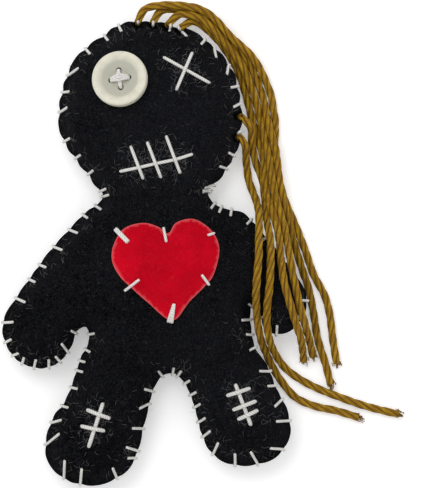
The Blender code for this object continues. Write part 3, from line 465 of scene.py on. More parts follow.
def puff(points: np.ndarray, faces: np.ndarray, held: np.ndarray) -> np.ndarray:
    """How far stuffing lifts each point, as a membrane under pressure.

    Args:
        points: the flat points.
        faces: the triangles.
        held: which points stay on the seam.

    Returns:
        From 0 where the felt is held to 1 at its fullest.
    """
    count = len(points)
    starts, ends, weights = [], [], []
    load = np.zeros(count)
    for k in range(3):
        i, j, t = faces[:, k], faces[:, (k + 1) % 3], faces[:, (k + 2) % 3]
        a, b = points[i] - points[t], points[j] - points[t]
        doubled = np.abs(a[:, 0] * b[:, 1] - a[:, 1] * b[:, 0])
        starts += [i, j]
        ends += [j, i]
        weights += [np.maximum(0.0, (a * b).sum(1) / np.maximum(doubled, 1e-12))] * 2
        load += np.bincount(i, doubled, count)
    i, j, w = np.concatenate(starts), np.concatenate(ends), np.concatenate(weights)
    diagonal = np.bincount(i, w, count)
    free = ~held

    def spread(values: np.ndarray) -> np.ndarray:
        """The membrane's pull at each free point."""
        return (diagonal * values - np.bincount(i, w * values[j], count)) * free

    lift = np.zeros(count)
    rest = load * free
    ahead = rest / diagonal
    product = rest @ ahead
    for _ in range(SOLVER_ROUNDS):
        pull = spread(ahead)
        share = product / (ahead @ pull)
        lift += share * ahead
        rest = rest - share * pull
        eased = rest / diagonal
        following = rest @ eased
        if following < SOLVER_SHARE * product and following < SOLVER_FLOOR:
            break
        ahead = eased + (following / product) * ahead
        product = following
    return np.maximum(lift / lift.max(), 0.0) ** ROUNDNESS


def surface_normals(points: np.ndarray, faces: np.ndarray) -> np.ndarray:
    """The unit normal of a mesh at each of its points."""
    a, b, c = (points[faces[:, k]] for k in range(3))
    flat = np.cross(b - a, c - a)
    total = np.zeros_like(points)
    for k in range(3):
        for axis in range(3):
            total[:, axis] += np.bincount(faces[:, k], flat[:, axis], len(points))
    return total / np.maximum(np.linalg.norm(total, axis=1), 1e-15)[:, None]


def add_piece(
    name: str,
    verts: np.ndarray,
    faces: list,
    finish: bpy.types.Material,
    normals: np.ndarray | None = None,
    values: dict[str, np.ndarray] | None = None,
) -> bpy.types.Object:
    """A mesh object at the origin with its place in its mesh.

    Args:
        name: the piece's name.
        verts: its points, as rows.
        faces: its faces, outwards.
        finish: its material.
        normals: the normal to shade each point with, if not the mesh's own.
        values: numbers that the finish reads, one for each point.

    Returns:
        The new object.
    """
    mesh = bpy.data.meshes.new(name)
    mesh.from_pydata([tuple(v) for v in verts], [], [tuple(int(i) for i in f) for f in faces])
    mesh.validate()
    mesh.shade_smooth()
    for label, numbers in (values or {}).items():
        store = mesh.attributes.new(label, "FLOAT", "POINT")
        store.data.foreach_set("value", np.asarray(numbers, np.float32))
    if normals is not None:
        mesh.normals_split_custom_set_from_vertices([tuple(n) for n in normals])
    mesh.materials.append(finish)
    obj = bpy.data.objects.new(name, mesh)
    bpy.context.scene.collection.objects.link(obj)
    return obj


def add_sheet(
    name: str,
    sides: tuple[np.ndarray, np.ndarray],
    tops: np.ndarray,
    normals: np.ndarray,
    edges: tuple[np.ndarray, np.ndarray],
    finish: bpy.types.Material,
) -> bpy.types.Object:
    """A sheet of felt with its thickness, closed round its rim.

    Args:
        name: the piece's name.
        sides: the points of its outer and of its inner side, in the same order.
        tops: the triangles of the outer side.
        normals: the outer side's normals.
        edges: how near each point of either side is to the cut edge, from 0 to 1.
        finish: its material.

    Returns:
        The new object.
    """
    count = len(sides[0])
    rim: dict[tuple[int, int], tuple[int, int]] = {}
    for face in tops:
        for a, b in zip(face, np.roll(face, -1)):
            key = (min(a, b), max(a, b))
            if key in rim:
                rim.pop(key)
            else:
                rim[key] = (int(a), int(b))
    walls = [(b, a, a + count, b + count) for a, b in rim.values()]
    bottoms = tops[:, ::-1] + count
    return add_piece(
        name, np.vstack(sides), [*tops.tolist(), *bottoms.tolist(), *walls], finish,
        np.vstack([normals, -normals]), {"edge": np.concatenate(edges)},
    )


def attach(obj: bpy.types.Object, region: Region) -> bpy.types.Object:
    """Hangs a piece of the torso on the torso's body, and fixes a piece of any other part where it
    lies.

    Args:
        obj: the finished piece.
        region: the part it belongs to.

    Returns:
        The same piece.
    """
    if region is Region.TORSO:
        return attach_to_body(obj, "torso")
    fold = FOLDS[region]
    middle = (place(fold.start) + place(fold.end)) / 2
    start = Vector((middle.x, middle.y, SEAM_HEIGHT))
    end = start + fold.across().to_3d() * fold.reach
    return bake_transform(obj)


class Nodes:
    """A short way to add and link the nodes of one node tree."""

    def __init__(self, tree: bpy.types.NodeTree) -> None:
        """Keeps the tree that the nodes go in."""
        self.tree = tree

    def add(self, kind: str, settings: dict | None = None, **inputs: object) -> bpy.types.Node:
        """Adds a node, sets it up and feeds its inputs.

        Args:
            kind: the node's type, without ShaderNode.
            settings: properties of the node.
            **inputs: values or output sockets by input name, with _ for a space, or i0, i1 by number.

        Returns:
            The node.
        """
        node = self.tree.nodes.new(f"ShaderNode{kind}")
        for key, value in (settings or {}).items():
            setattr(node, key, value)
        for key, value in inputs.items():
            number = key[1:] if key[0] == "i" and key[1:].isdigit() else None
            socket = node.inputs[int(number)] if number else node.inputs[key.replace("_", " ")]
            self.feed(socket, value)
        return node

    def feed(self, socket: bpy.types.NodeSocket, value: object) -> None:
        """Links an output to a socket, or sets the socket's own value."""
        if isinstance(value, bpy.types.NodeSocket):
            self.tree.links.new(value, socket)
        else:
            socket.default_value = value

    def attribute(self, name: str) -> bpy.types.NodeSocket:
        """A value that the mesh holds for each of its points."""
        return self.add("Attribute", {"attribute_name": name}).outputs["Fac"]

    def math(self, operation: str, first: object, second: object = 0.0) -> bpy.types.NodeSocket:
        """The result of a Math node."""
        return self.add("Math", {"operation": operation}, i0=first, i1=second).outputs[0]

    def ramp(self, value: object, low: float, high: float) -> bpy.types.NodeSocket:
        """A value brought from low..high to 0..1, or the other way where low is the greater."""
        return self.add("MapRange", None, Value=value, From_Min=low, From_Max=high).outputs[0]

    def blend(self, factor: object, first: object, second: object) -> bpy.types.NodeSocket:
        """One colour turned into another by a factor."""
        made = self.add("Mix", {"data_type": "RGBA"}, i0=factor, i6=first, i7=second)
        return made.outputs[2]

    def noise(self, where: object, scale: object, **inputs: object) -> bpy.types.NodeSocket:
        """The value of a Noise Texture."""
        return self.add("TexNoise", None, Vector=where, Scale=scale, **inputs).outputs[0]


def rgba(colour: Colour) -> tuple[float, float, float, float]:
    """A colour with full alpha."""
    return (*colour, 1.0)


def new_group(
    name: str, inputs: dict[str, float | Colour], outputs: dict[str, str]
) -> tuple[bpy.types.NodeTree, Nodes, bpy.types.Node, bpy.types.Node]:
    """An empty shader node group with named sockets.

    Args:
        name: the group's name.
        inputs: the value of each input, which gives its type.
        outputs: the socket type of each output.

    Returns:
        The group, its nodes, and its input and output nodes.
    """
    tree = bpy.data.node_groups.new(name, "ShaderNodeTree")
    for label, value in inputs.items():
        kind = "NodeSocketColor" if isinstance(value, tuple) else "NodeSocketFloat"
        socket = tree.interface.new_socket(label, in_out="INPUT", socket_type=kind)
        socket.default_value = rgba(value) if isinstance(value, tuple) else value
    for label, kind in outputs.items():
        tree.interface.new_socket(label, in_out="OUTPUT", socket_type=kind)
    nodes = Nodes(tree)
    return tree, nodes, tree.nodes.new("NodeGroupInput"), tree.nodes.new("NodeGroupOutput")


def felt_fibres_group() -> bpy.types.NodeTree:
    """Curled fibres that lie on felt: fine broken lines, as a mask and a height."""
    tree, nodes, given, out = new_group(
        "felt_fibres",
        {"Scale": 300.0, "Width": 0.03},
        {"Mask": "NodeSocketFloat", "Height": "NodeSocketFloat"},
    )
    where = nodes.add("TexCoord").outputs["Object"]
    scale, width = given.outputs["Scale"], given.outputs["Width"]
    broken = nodes.noise(where, nodes.math("MULTIPLY", scale, 0.55), Detail=1.0)
    lines = []
    for turn, factor in ((0.0, 1.0), (1.1, 1.45), (2.2, 0.8)):
        turned = nodes.add("Mapping", None, Vector=where, Rotation=(turn, turn * 0.7, turn * 1.3))
        wavy = nodes.noise(
            turned.outputs[0], nodes.math("MULTIPLY", scale, factor), Detail=1.5, Distortion=1.6
        )
        ridge = nodes.math("ABSOLUTE", nodes.math("SUBTRACT", wavy, 0.5))
        lines.append(nodes.math("SUBTRACT", 1.0, nodes.math("DIVIDE", ridge, width)))
    first, second, third = (
        nodes.math("MULTIPLY", nodes.math("MAXIMUM", line, 0.0), share)
        for line, share in zip(
            lines, (nodes.ramp(broken, 0.42, 0.55), nodes.ramp(broken, 0.56, 0.43), 0.35)
        )
    )
    mask = nodes.math("MAXIMUM", nodes.math("MAXIMUM", first, second), third)
    pile = nodes.noise(where, nodes.math("MULTIPLY", scale, 4.0), Detail=2.0)
    height = nodes.math("ADD", nodes.math("MULTIPLY", mask, 0.7), nodes.math("MULTIPLY", pile, 0.5))
    tree.links.new(mask, out.inputs["Mask"])
    tree.links.new(height, out.inputs["Height"])
    return tree


def mottle_group() -> bpy.types.NodeTree:
    """Soft unevenness of a colour: two colours mixed by cloudy noise."""
    tree, nodes, given, out = new_group(
        "mottle",
        {"Scale": 40.0, "First": (0.5, 0.5, 0.5), "Second": (0.6, 0.6, 0.6)},
        {"Color": "NodeSocketColor", "Mask": "NodeSocketFloat"},
    )
    where = nodes.add("TexCoord").outputs["Object"]
    cloudy = nodes.noise(where, given.outputs["Scale"], Detail=4.0, Roughness=0.6)
    mask = nodes.ramp(cloudy, 0.36, 0.64)
    colour = nodes.blend(mask, given.outputs["First"], given.outputs["Second"])
    tree.links.new(colour, out.inputs["Color"])
    tree.links.new(mask, out.inputs["Mask"])
    return tree


def spun_fibre_group() -> bpy.types.NodeTree:
    """Fibres of spun thread: lighter streaks along each ply, partly painted highlight, and painted
    shade that darkens the grooves between the plies.
    """
    tree, nodes, given, out = new_group(
        "spun_fibre",
        {
            "Groove": 0.0, "Along": 0.0, "Round": 0.0, "Scale": 60.0,
            "Crest": (0.7, 0.7, 0.7), "Light": (0.8, 0.8, 0.8), "Deep": (0.3, 0.3, 0.3),
        },
        {"Color": "NodeSocketColor", "Height": "NodeSocketFloat"},
    )
    sockets = given.outputs
    where = nodes.add("CombineXYZ", None, X=sockets["Along"], Y=sockets["Round"]).outputs[0]
    streaks = nodes.noise(where, sockets["Scale"], Detail=3.0, Roughness=0.6, Distortion=0.4)
    # lighter streaks: partly the fibres' own tone, partly painted highlight
    lit = nodes.blend(nodes.ramp(streaks, 0.42, 0.68), sockets["Crest"], sockets["Light"])
    # painted shade: the colour darkens towards the grooves between the plies
    grooved = nodes.math("ADD", sockets["Groove"], nodes.math("MULTIPLY", streaks, 0.2))
    shade = nodes.ramp(grooved, 0.35, 1.05)
    colour = nodes.blend(shade, lit, sockets["Deep"])
    height = nodes.math("SUBTRACT", streaks, nodes.math("MULTIPLY", sockets["Groove"], 1.2))
    tree.links.new(colour, out.inputs["Color"])
    tree.links.new(height, out.inputs["Height"])
    return tree


class Finish:
    """What all finishes share: a material with a Principled shader, made once."""

    def begin(self, name: str) -> tuple[bpy.types.Material, Nodes, bpy.types.Node]:
        """A new material, its nodes and its shader."""
        made = bpy.data.materials.new(name)
        made.use_nodes = True
        return made, Nodes(made.node_tree), made.node_tree.nodes["Principled BSDF"]

    def group(self, nodes: Nodes, name: str, **inputs: object) -> bpy.types.Node:
        """A shared node group placed in a material with its own values."""
        node = nodes.add("Group", {"node_tree": bpy.data.node_groups[name]})
        for key, value in inputs.items():
            nodes.feed(node.inputs[key], value)
        return node

    def set_shader(self, nodes: Nodes, shader: bpy.types.Node, **inputs: object) -> None:
        """Sets or links the shader's inputs, with _ for a space in their names."""
        for key, value in inputs.items():
            nodes.feed(shader.inputs[key.replace("_", " ")], value)


@dataclass(frozen=True)
class Felt(Finish):
    """Felt of matted fibres, a little lighter along its cut edge, partly from the cut fibres and
    partly as painted highlight.
    """

    name: str
    dark: Colour
    light: Colour
    fibre: Colour
    # edge: the cut edge's colour, partly lighter fibres and partly painted highlight
    edge: Colour
    strength: float
    fibre_scale: float = 300.0
    mottle_scale: float = 45.0
    sheen: float = 0.15
    sheen_tint: Colour = (1.0, 1.0, 1.0)

    def build(self) -> bpy.types.Material:
        """The felt's material."""
        made, nodes, shader = self.begin(self.name)
        ground = self.group(
            nodes, "mottle", Scale=self.mottle_scale, First=rgba(self.dark), Second=rgba(self.light)
        )
        fibres = self.group(nodes, "felt_fibres", Scale=self.fibre_scale, Width=0.038)
        mask = nodes.math("MULTIPLY", fibres.outputs["Mask"], self.strength)
        colour = nodes.blend(mask, ground.outputs["Color"], rgba(self.fibre))
        # lighter cut edge: partly its fibres, partly painted highlight
        edge = nodes.attribute("edge")
        colour = nodes.blend(edge, colour, rgba(self.edge))
        bump = nodes.add("Bump", None, Strength=0.55, Distance=0.0004, Height=fibres.outputs["Height"])
        self.set_shader(
            nodes, shader, Base_Color=colour, Normal=bump.outputs[0], Roughness=0.95,
            Specular_IOR_Level=0.04, Sheen_Weight=self.sheen, Sheen_Roughness=0.5,
            Sheen_Tint=rgba(self.sheen_tint),
        )
        return made


@dataclass(frozen=True)
class SpunThread(Finish):
    """Plied thread or yarn, which reads the twist that its tube holds, with painted shade in its
    grooves and partly painted highlight in its lighter streaks.
    """

    name: str
    crest: Colour
    # light: the lighter streak colour, partly painted highlight
    light: Colour
    # deep: the painted shade colour of the grooves between the plies
    deep: Colour
    streaks: float = 900.0
    sheen: float = 0.1

    def build(self) -> bpy.types.Material:
        """The thread's material."""
        made, nodes, shader = self.begin(self.name)
        along, turn, groove = (nodes.attribute(label) for label in ("along", "round", "groove"))
        spun = self.group(
            nodes, "spun_fibre", Groove=groove, Along=along, Round=turn, Scale=self.streaks,
            Crest=rgba(self.crest), Light=rgba(self.light), Deep=rgba(self.deep),
        )
        bump = nodes.add("Bump", None, Strength=0.4, Distance=0.0002, Height=spun.outputs["Height"])
        self.set_shader(
            nodes, shader, Base_Color=spun.outputs["Color"], Normal=bump.outputs[0], Roughness=0.85,
            Specular_IOR_Level=0.25, Sheen_Weight=self.sheen, Sheen_Roughness=0.5,
        )
        return made


@dataclass(frozen=True)
class ButtonIvory(Finish):
    """Pale moulded plastic, greyer in the button's recess: a little of that is its own colour, most is
    painted shade.
    """

    name: str = "button_ivory"
    rim: Colour = (0.64, 0.61, 0.49)
    # the rim's lighter tone, mixed in at random: partly the plastic's own unevenness, partly painted
    # highlight
    rim_light: Colour = (0.74, 0.71, 0.59)
    # the recess colour: a little greyer plastic, and mostly painted shade
    recess: Colour = (0.50, 0.495, 0.41)

    def build(self) -> bpy.types.Material:
        """The button's material."""
        made, nodes, shader = self.begin(self.name)
        # the points in the recess take the painted shade colour
        recess_shade = nodes.attribute("recess")
        # rim mottle: partly uneven plastic, partly painted highlight
        ground = self.group(
            nodes, "mottle", Scale=260.0, First=rgba(self.rim), Second=rgba(self.rim_light)
        )
        colour = nodes.blend(recess_shade, ground.outputs["Color"], rgba(self.recess))
        rough = nodes.math("ADD", nodes.math("MULTIPLY", ground.outputs["Mask"], 0.12), 0.36)
        self.set_shader(
            nodes, shader, Base_Color=colour, Roughness=rough, Subsurface_Weight=0.0, IOR=1.5
        )
        return made


@dataclass(frozen=True)
class PlainMatter(Finish):
    """An uneven plain material for what lies inside: moulded plastic or fibre filling."""

    name: str
    first: Colour
    second: Colour
    scale: float
    roughness: float

    def build(self) -> bpy.types.Material:
        """The material."""
        made, nodes, shader = self.begin(self.name)
        ground = self.group(
            nodes, "mottle", Scale=self.scale, First=rgba(self.first), Second=rgba(self.second)
        )
        rough = nodes.math(
            "ADD", nodes.math("MULTIPLY", ground.outputs["Mask"], 0.08), self.roughness
        )
        self.set_shader(nodes, shader, Base_Color=ground.outputs["Color"], Roughness=rough)
        return made


@dataclass
class Finishes:
    """Every finish of the doll, built once."""

    black_felt: bpy.types.Material = None
    red_felt: bpy.types.Material = None
    thread: bpy.types.Material = None
    lint: bpy.types.Material = None
    yarn: bpy.types.Material = None
    button: bpy.types.Material = None
    plastic: bpy.types.Material = None

    def build(self) -> "Finishes":
        """Makes the node groups and the materials.

        Returns:
            The finishes, ready to use.
        """
        for make in (felt_fibres_group, mottle_group, spun_fibre_group):
            make()
        # The black felt's wide, coarse mottle is partly the felt's own unevenness and partly painted
        # sheen patches and shade, laid at random
        self.black_felt = Felt(
            "black_felt", (0.0007, 0.0008, 0.0014), (0.0042, 0.0045, 0.0062),
            (0.046, 0.047, 0.050), (0.0050, 0.0052, 0.0065), 0.46, fibre_scale=420.0,
            mottle_scale=20.0, sheen=0.004,
        ).build()
        # The red felt's pink cut edge is partly its fibres and partly painted highlight
        self.red_felt = Felt(
            "red_felt", (0.47, 0.0008, 0.010), (0.66, 0.0016, 0.015), (0.78, 0.020, 0.035),
            (0.80, 0.16, 0.17), 0.32, sheen=0.01, sheen_tint=(1.0, 0.3, 0.3),
        ).build()
        # Thread, lint and yarn: a crest colour, lighter streaks that are partly painted highlight, and
        # painted shade for the grooves
        self.thread = SpunThread(
            "cotton_thread", (0.79, 0.775, 0.74), (0.90, 0.89, 0.87), (0.42, 0.40, 0.37)
        ).build()
        self.lint = SpunThread(
            "stray_fibre", (0.17, 0.17, 0.17), (0.28, 0.28, 0.28), (0.10, 0.10, 0.10)
        ).build()
        self.yarn = SpunThread(
            "yarn_mustard", (0.250, 0.128, 0.005), (0.48, 0.285, 0.012), (0.090, 0.031, 0.0018),
            streaks=700.0, sheen=0.01,
        ).build()
        self.button = ButtonIvory().build()
        self.plastic = PlainMatter(
            "frame_plastic", (0.66, 0.64, 0.56), (0.74, 0.72, 0.64), 120.0, 0.42
        ).build()
        return self


@dataclass
class PliedTube:
    """A twisted thread: a tube whose surface has a bulge for each ply."""

    diameter: float
    plies: int = 3
    pitch: float = 0.0036
    step: float = 0.00042
    sides: int = 12
    depth: float = 0.16

    def shape(
        self, line: np.ndarray, taper: float = 0.0, blunt: bool = False
    ) -> tuple[np.ndarray, list, dict]:
        """The tube along a line.

        Args:
            line: points of the centreline.
            taper: the length over which each end narrows.
            blunt: whether the far end keeps nearly its full thickness.

        Returns:
            Its points, faces and the values that its finish reads.
        """
        centres = evenly(list(line), self.step)
        run = np.concatenate([[0.0], np.cumsum(np.linalg.norm(np.diff(centres, axis=0), axis=1))])
        ahead = np.gradient(centres, axis=0)
        ahead /= np.linalg.norm(ahead, axis=1)[:, None]
        side = np.cross(ahead[0], (0.0, 0.0, 1.0))
        if np.linalg.norm(side) < 0.1:
            side = np.cross(ahead[0], (1.0, 0.0, 0.0))
        sides_at = []
        for direction in ahead:
            side = side - direction * (side @ direction)
            side = side / np.linalg.norm(side)
            sides_at.append(side)
        across = np.array(sides_at)
        up = np.cross(ahead, across)
        angles = np.arange(self.sides) * 2 * math.pi / self.sides
        turned = angles[None, :] - 2 * math.pi * run[:, None] / self.pitch
        bulge = np.abs(np.cos(self.plies * turned / 2))
        radius = self.diameter / 2 * (1 - self.depth + self.depth * bulge)
        if taper:
            left = (run[-1] - run) / taper
            ends = np.minimum(run / taper, left * 2.5 + 1.0 if blunt else left)
            radius = radius * np.clip(0.25 + 0.75 * ends, 0, 1)[:, None]
        ring = across[:, None, :] * np.cos(angles)[None, :, None]
        ring = ring + up[:, None, :] * np.sin(angles)[None, :, None]
        body = centres[:, None, :] + ring * radius[:, :, None]
        count, n = len(centres), self.sides
        verts = np.vstack([body.reshape(-1, 3), centres[:1], centres[-1:]])
        faces = []
        for row in range(count - 1):
            for k in range(n):
                a, b = row * n + k, row * n + (k + 1) % n
                faces.append((a, b, b + n, a + n))
        for k in range(n):
            faces.append((count * n, (k + 1) % n, k))
            last = (count - 1) * n
            faces.append((count * n + 1, last + k, last + (k + 1) % n))
        # groove: 1 between the plies, where the finish paints shade and the bump sinks
        values = {
            "groove": np.append(1 - bulge.ravel(), [0.6, 0.6]),
            "along": np.append(np.repeat(run, n) * 0.35, [0.0, run[-1] * 0.35]),
            "round": np.append((turned * self.diameter / 2).ravel(), [0.0, 0.0]),
        }
        return verts, faces, values


def join_shapes(shapes: list) -> tuple[np.ndarray, list, dict]:
    """Several tubes as one mesh's points, faces and values."""
    verts, faces, values, first = [], [], {}, 0
    for some_verts, some_faces, some_values in shapes:
        verts.append(some_verts)
        faces += [tuple(i + first for i in face) for face in some_faces]
        for label, numbers in some_values.items():
            values.setdefault(label, []).append(numbers)
        first += len(some_verts)
    return np.vstack(verts), faces, {k: np.concatenate(v) for k, v in values.items()}


def add_threads(
    name: str, shapes: list, finish: bpy.types.Material, region: Region, node: str = ""
) -> None:
    """Makes tubes of cotton into one piece, hung on the torso's body if it belongs to the torso and
    fixed where it lies otherwise.

    Args:
        name: the piece's name.
        shapes: the tubes.
        finish: its material.
        region: the part it belongs to.
        node: the frame's node that it stands for, if there is one.
    """
    verts, faces, values = join_shapes(shapes)
    piece = add_piece(name, verts, faces, finish, values=values)
    if node:
        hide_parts(node)
    attach(piece, region)


def single_fibre() -> PliedTube:
    """A fibre so fine that its plies don't show."""
    return PliedTube(0.00010, plies=2, pitch=0.01, step=0.0008, sides=3, depth=0.0)


@dataclass
class FeltPanel:
    """One felt panel of the body as a fine curved sheet, cut at the folds into six skins."""

    side: Side
    step: float
    points: np.ndarray = None
    faces: np.ndarray = None
    regions: list = field(default_factory=list)
    normals: np.ndarray = None
    edge_gap: np.ndarray = None
    tree: BVHTree = None
    pull_fade: float = 0.004
    ruffle_fade: float = 0.006
    cut_edge: float = 0.0009

    def inflate(self, outline: np.ndarray) -> None:
        """Makes the sheet inside the outline and lifts it as the stuffing does."""
        chains = [(place(f.start), place(f.end)) for f in FOLDS.values()]
        flat, self.faces = flat_grid(outline, self.step, chains)
        self.edge_gap = line_distance(flat, outline, True)
        lift = puff(flat, self.faces, self.edge_gap < SEAM_WIDTH)
        if self.side is Side.FRONT:
            height = FRONT_EDGE + FRONT_RISE * lift
        else:
            height = BACK_EDGE - BACK_DROP * lift
        height = self.eased(height, 8)
        if self.side is Side.BACK:
            height = np.maximum(height, 0.0)
        self.points = np.column_stack([flat, height])
        centres = flat[self.faces].mean(axis=1)
        self.regions = [region_at(to_pixel(c)) for c in centres]

    def eased(self, height: np.ndarray, rounds: int) -> np.ndarray:
        """Heights averaged with their neighbours' over some rounds, held at the edge."""
        count = len(height)
        i = np.concatenate([self.faces[:, k] for k in (0, 1, 2)])
        j = np.concatenate([self.faces[:, k] for k in (1, 2, 0)])
        i, j = np.concatenate([i, j]), np.concatenate([j, i])
        near = np.bincount(i, minlength=count)
        free = self.edge_gap > 1e-6
        for _ in range(rounds):
            mean = np.bincount(i, height[j], count) / np.maximum(near, 1)
            height = np.where(free, (height + mean) / 2, height)
        return height

    def dent(self, line: np.ndarray, depth: float, width: float) -> None:
        """Presses the sheet in along a line, as a stitch or a crease does."""
        gap = line_distance(self.points[:, :2], line)
        fade = np.clip(self.edge_gap / SEAM_WIDTH, 0.25, 1)
        self.points[:, 2] -= self.side.value * depth * np.exp(-((gap / width) ** 2)) * fade

    def draw_in(self, spots: list, width: float) -> None:
        """Pulls the edge inwards at each whip stitch."""
        fade = np.clip(1 - self.edge_gap / self.pull_fade, 0, 1)
        for spot, inward, depth in spots:
            gap = np.linalg.norm(self.points[:, :2] - spot, axis=1)
            pull = depth * np.exp(-((gap / width) ** 2)) * fade
            self.points[:, :2] += inward * pull[:, None]

    def press_under(self, line: np.ndarray, radius: float, gap: float) -> None:
        """Keeps the sheet clear below a strand that lies on it."""
        flat = self.points[:, :2]
        for a, b in zip(line[:-1], line[1:]):
            span = b[:2] - a[:2]
            share = np.clip((flat - a[:2]) @ span / max(span @ span, 1e-15), 0, 1)
            off = np.linalg.norm(flat - a[:2] - share[:, None] * span, axis=1)
            under = off < radius
            centre = a[2] + (b[2] - a[2]) * share
            limit = centre - np.sqrt(np.maximum(radius**2 - off**2, 0)) - gap
            high = under & (self.points[:, 2] > limit) & (self.edge_gap > SEAM_WIDTH * 0.4)
            self.points[high, 2] = limit[high]

    def ruffle(self, height: float, size: float) -> None:
        """Adds the small unevenness of stuffed felt."""
        share = np.clip(self.edge_gap / self.ruffle_fade, 0, 1)
        for k, point in enumerate(self.points):
            bump = noise.fractal(Vector(point) / size, 0.9, 2.0, 3)
            self.points[k, 2] += self.side.value * height * bump * share[k]

    def settle(self) -> None:
        """Fixes the sheet's shape: its normals and the tree that heights are found with."""
        if self.side is Side.BACK:
            self.points[:, 2] = np.maximum(self.points[:, 2], 0.0)
        self.normals = surface_normals(self.points, self.faces) * self.side.value
        polygons = [tuple(int(i) for i in f) for f in self.faces]
        self.tree = BVHTree.FromPolygons([tuple(p) for p in self.points], polygons)

    def height(self, spot: np.ndarray) -> float:
        """The sheet's height at a place, or the seam's beside it."""
        above = Vector((spot[0], spot[1], 1.0))
        hit = self.tree.ray_cast(above, Vector((0, 0, -1)))[0]
        edge = FRONT_EDGE if self.side is Side.FRONT else BACK_EDGE
        return hit.z if hit else edge

    def inner(self) -> np.ndarray:
        """The sheet's inner face, one felt's thickness in, and level along the seam."""
        deep = self.points - self.normals * FELT
        seam = self.points.copy()
        seam[:, 2] = SEAM_HEIGHT + self.side.value * SEAM_GAP
        share = np.clip(1 - self.edge_gap / (SEAM_WIDTH * 0.8), 0, 1)[:, None]
        mixed = deep * (1 - share) + seam * share
        if self.side is Side.FRONT:
            mixed[:, 2] = np.maximum(mixed[:, 2], SEAM_HEIGHT + SEAM_GAP)
        else:
            mixed[:, 2] = np.minimum(mixed[:, 2], SEAM_HEIGHT - SEAM_GAP)
        return mixed

    def skins(self, finish: bpy.types.Material) -> dict[Region, bpy.types.Object]:
        """Cuts the sheet at the folds and gives each piece its thickness.

        Args:
            finish: the felt's material.

        Returns:
            The skin of each part of the doll.
        """
        inner = self.inner()
        made = {}
        kinds = np.array([region.value for region in self.regions])
        for region in Region:
            chosen = self.faces[kinds == region.value]
            used = np.unique(chosen)
            new_id = np.full(len(self.points), -1)
            new_id[used] = np.arange(len(used))
            tops = new_id[chosen][:, :: self.side.value]
            # nearness to the cut edge, which the finish lightens, partly as painted highlight
            edge = np.clip(1 - self.edge_gap[used] / self.cut_edge, 0, 1)
            made[region] = add_sheet(
                f"skin_{self.side.name.lower()}_{region.value}",
                (self.points[used], inner[used]), tops, self.normals[used], (edge, edge), finish,
            )
        return made


@dataclass
class FeltBody:
    """The two felt panels, and the places of everything that presses on them."""

    front_step: float = 0.00115
    back_step: float = 0.0017
    pull_width: float = 0.0024
    ruffle_size: float = 0.013
    ruffle_heights: tuple[float, float] = (0.0007, 0.0004)
    groove: tuple[float, float] = (0.00045, 0.0011)
    dimple: tuple[float, float] = (0.0011, 0.0012)
    crease_widths: tuple[float, float] = (0.0016, 0.0050)
    strand_radius: float = 0.0019
    strand_gap: float = 0.0001
    outline: np.ndarray = None
    front: FeltPanel = None
    back: FeltPanel = None

    def shape(self, marks: list[np.ndarray], spots: list, strands: list[np.ndarray]) -> None:
        """Shapes both panels.

        Args:
            marks: the lines of the stitches on the front.
            spots: the place, inward direction and pull of each whip stitch.
            strands: the centrelines of the yarn.
        """
        self.front = FeltPanel(Side.FRONT, self.front_step)
        self.back = FeltPanel(Side.BACK, self.back_step)
        for panel in (self.front, self.back):
            panel.inflate(self.outline)
            panel.draw_in(spots, self.pull_width)
        self.crease()
        for panel, height in zip((self.front, self.back), self.ruffle_heights):
            panel.ruffle(height, self.ruffle_size)
        for line in marks:
            self.front.dent(line, *self.groove)
            for end in (line[0], line[-1]):
                self.front.dent(np.array([end, end]), *self.dimple)
        for panel in (self.front, self.back):
            for strand in strands:
                panel.press_under(strand, self.strand_radius, self.strand_gap)
            panel.settle()

    def crease(self) -> None:
        """Folds the front where the limbs bend, and wrinkles it beside the armpits and hips."""
        for fold in FOLDS.values():
            line = np.array([place(fold.start), place(fold.end)])
            sharp, soft = self.crease_widths
            self.front.dent(line, fold.crease, sharp)
            self.front.dent(line, fold.crease * 0.9, soft)
        for pixels, depth, width in WRINKLES:
            self.front.dent(traced(pixels, 0.002), depth, width)

    def dress(self, finishes: Finishes) -> None:
        """Makes the skins in place of the plain felt and stuffing, and hangs the torso's skins on the
        frame.
        """
        for panel, node in ((self.front, "felt_front"), (self.back, "felt_back")):
            for region, skin in panel.skins(finishes.black_felt).items():
                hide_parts(node, f"stuffing_{region.value}")
                attach(skin, region)
                LOG.info("%s: %d faces", skin.name, len(skin.data.polygons))


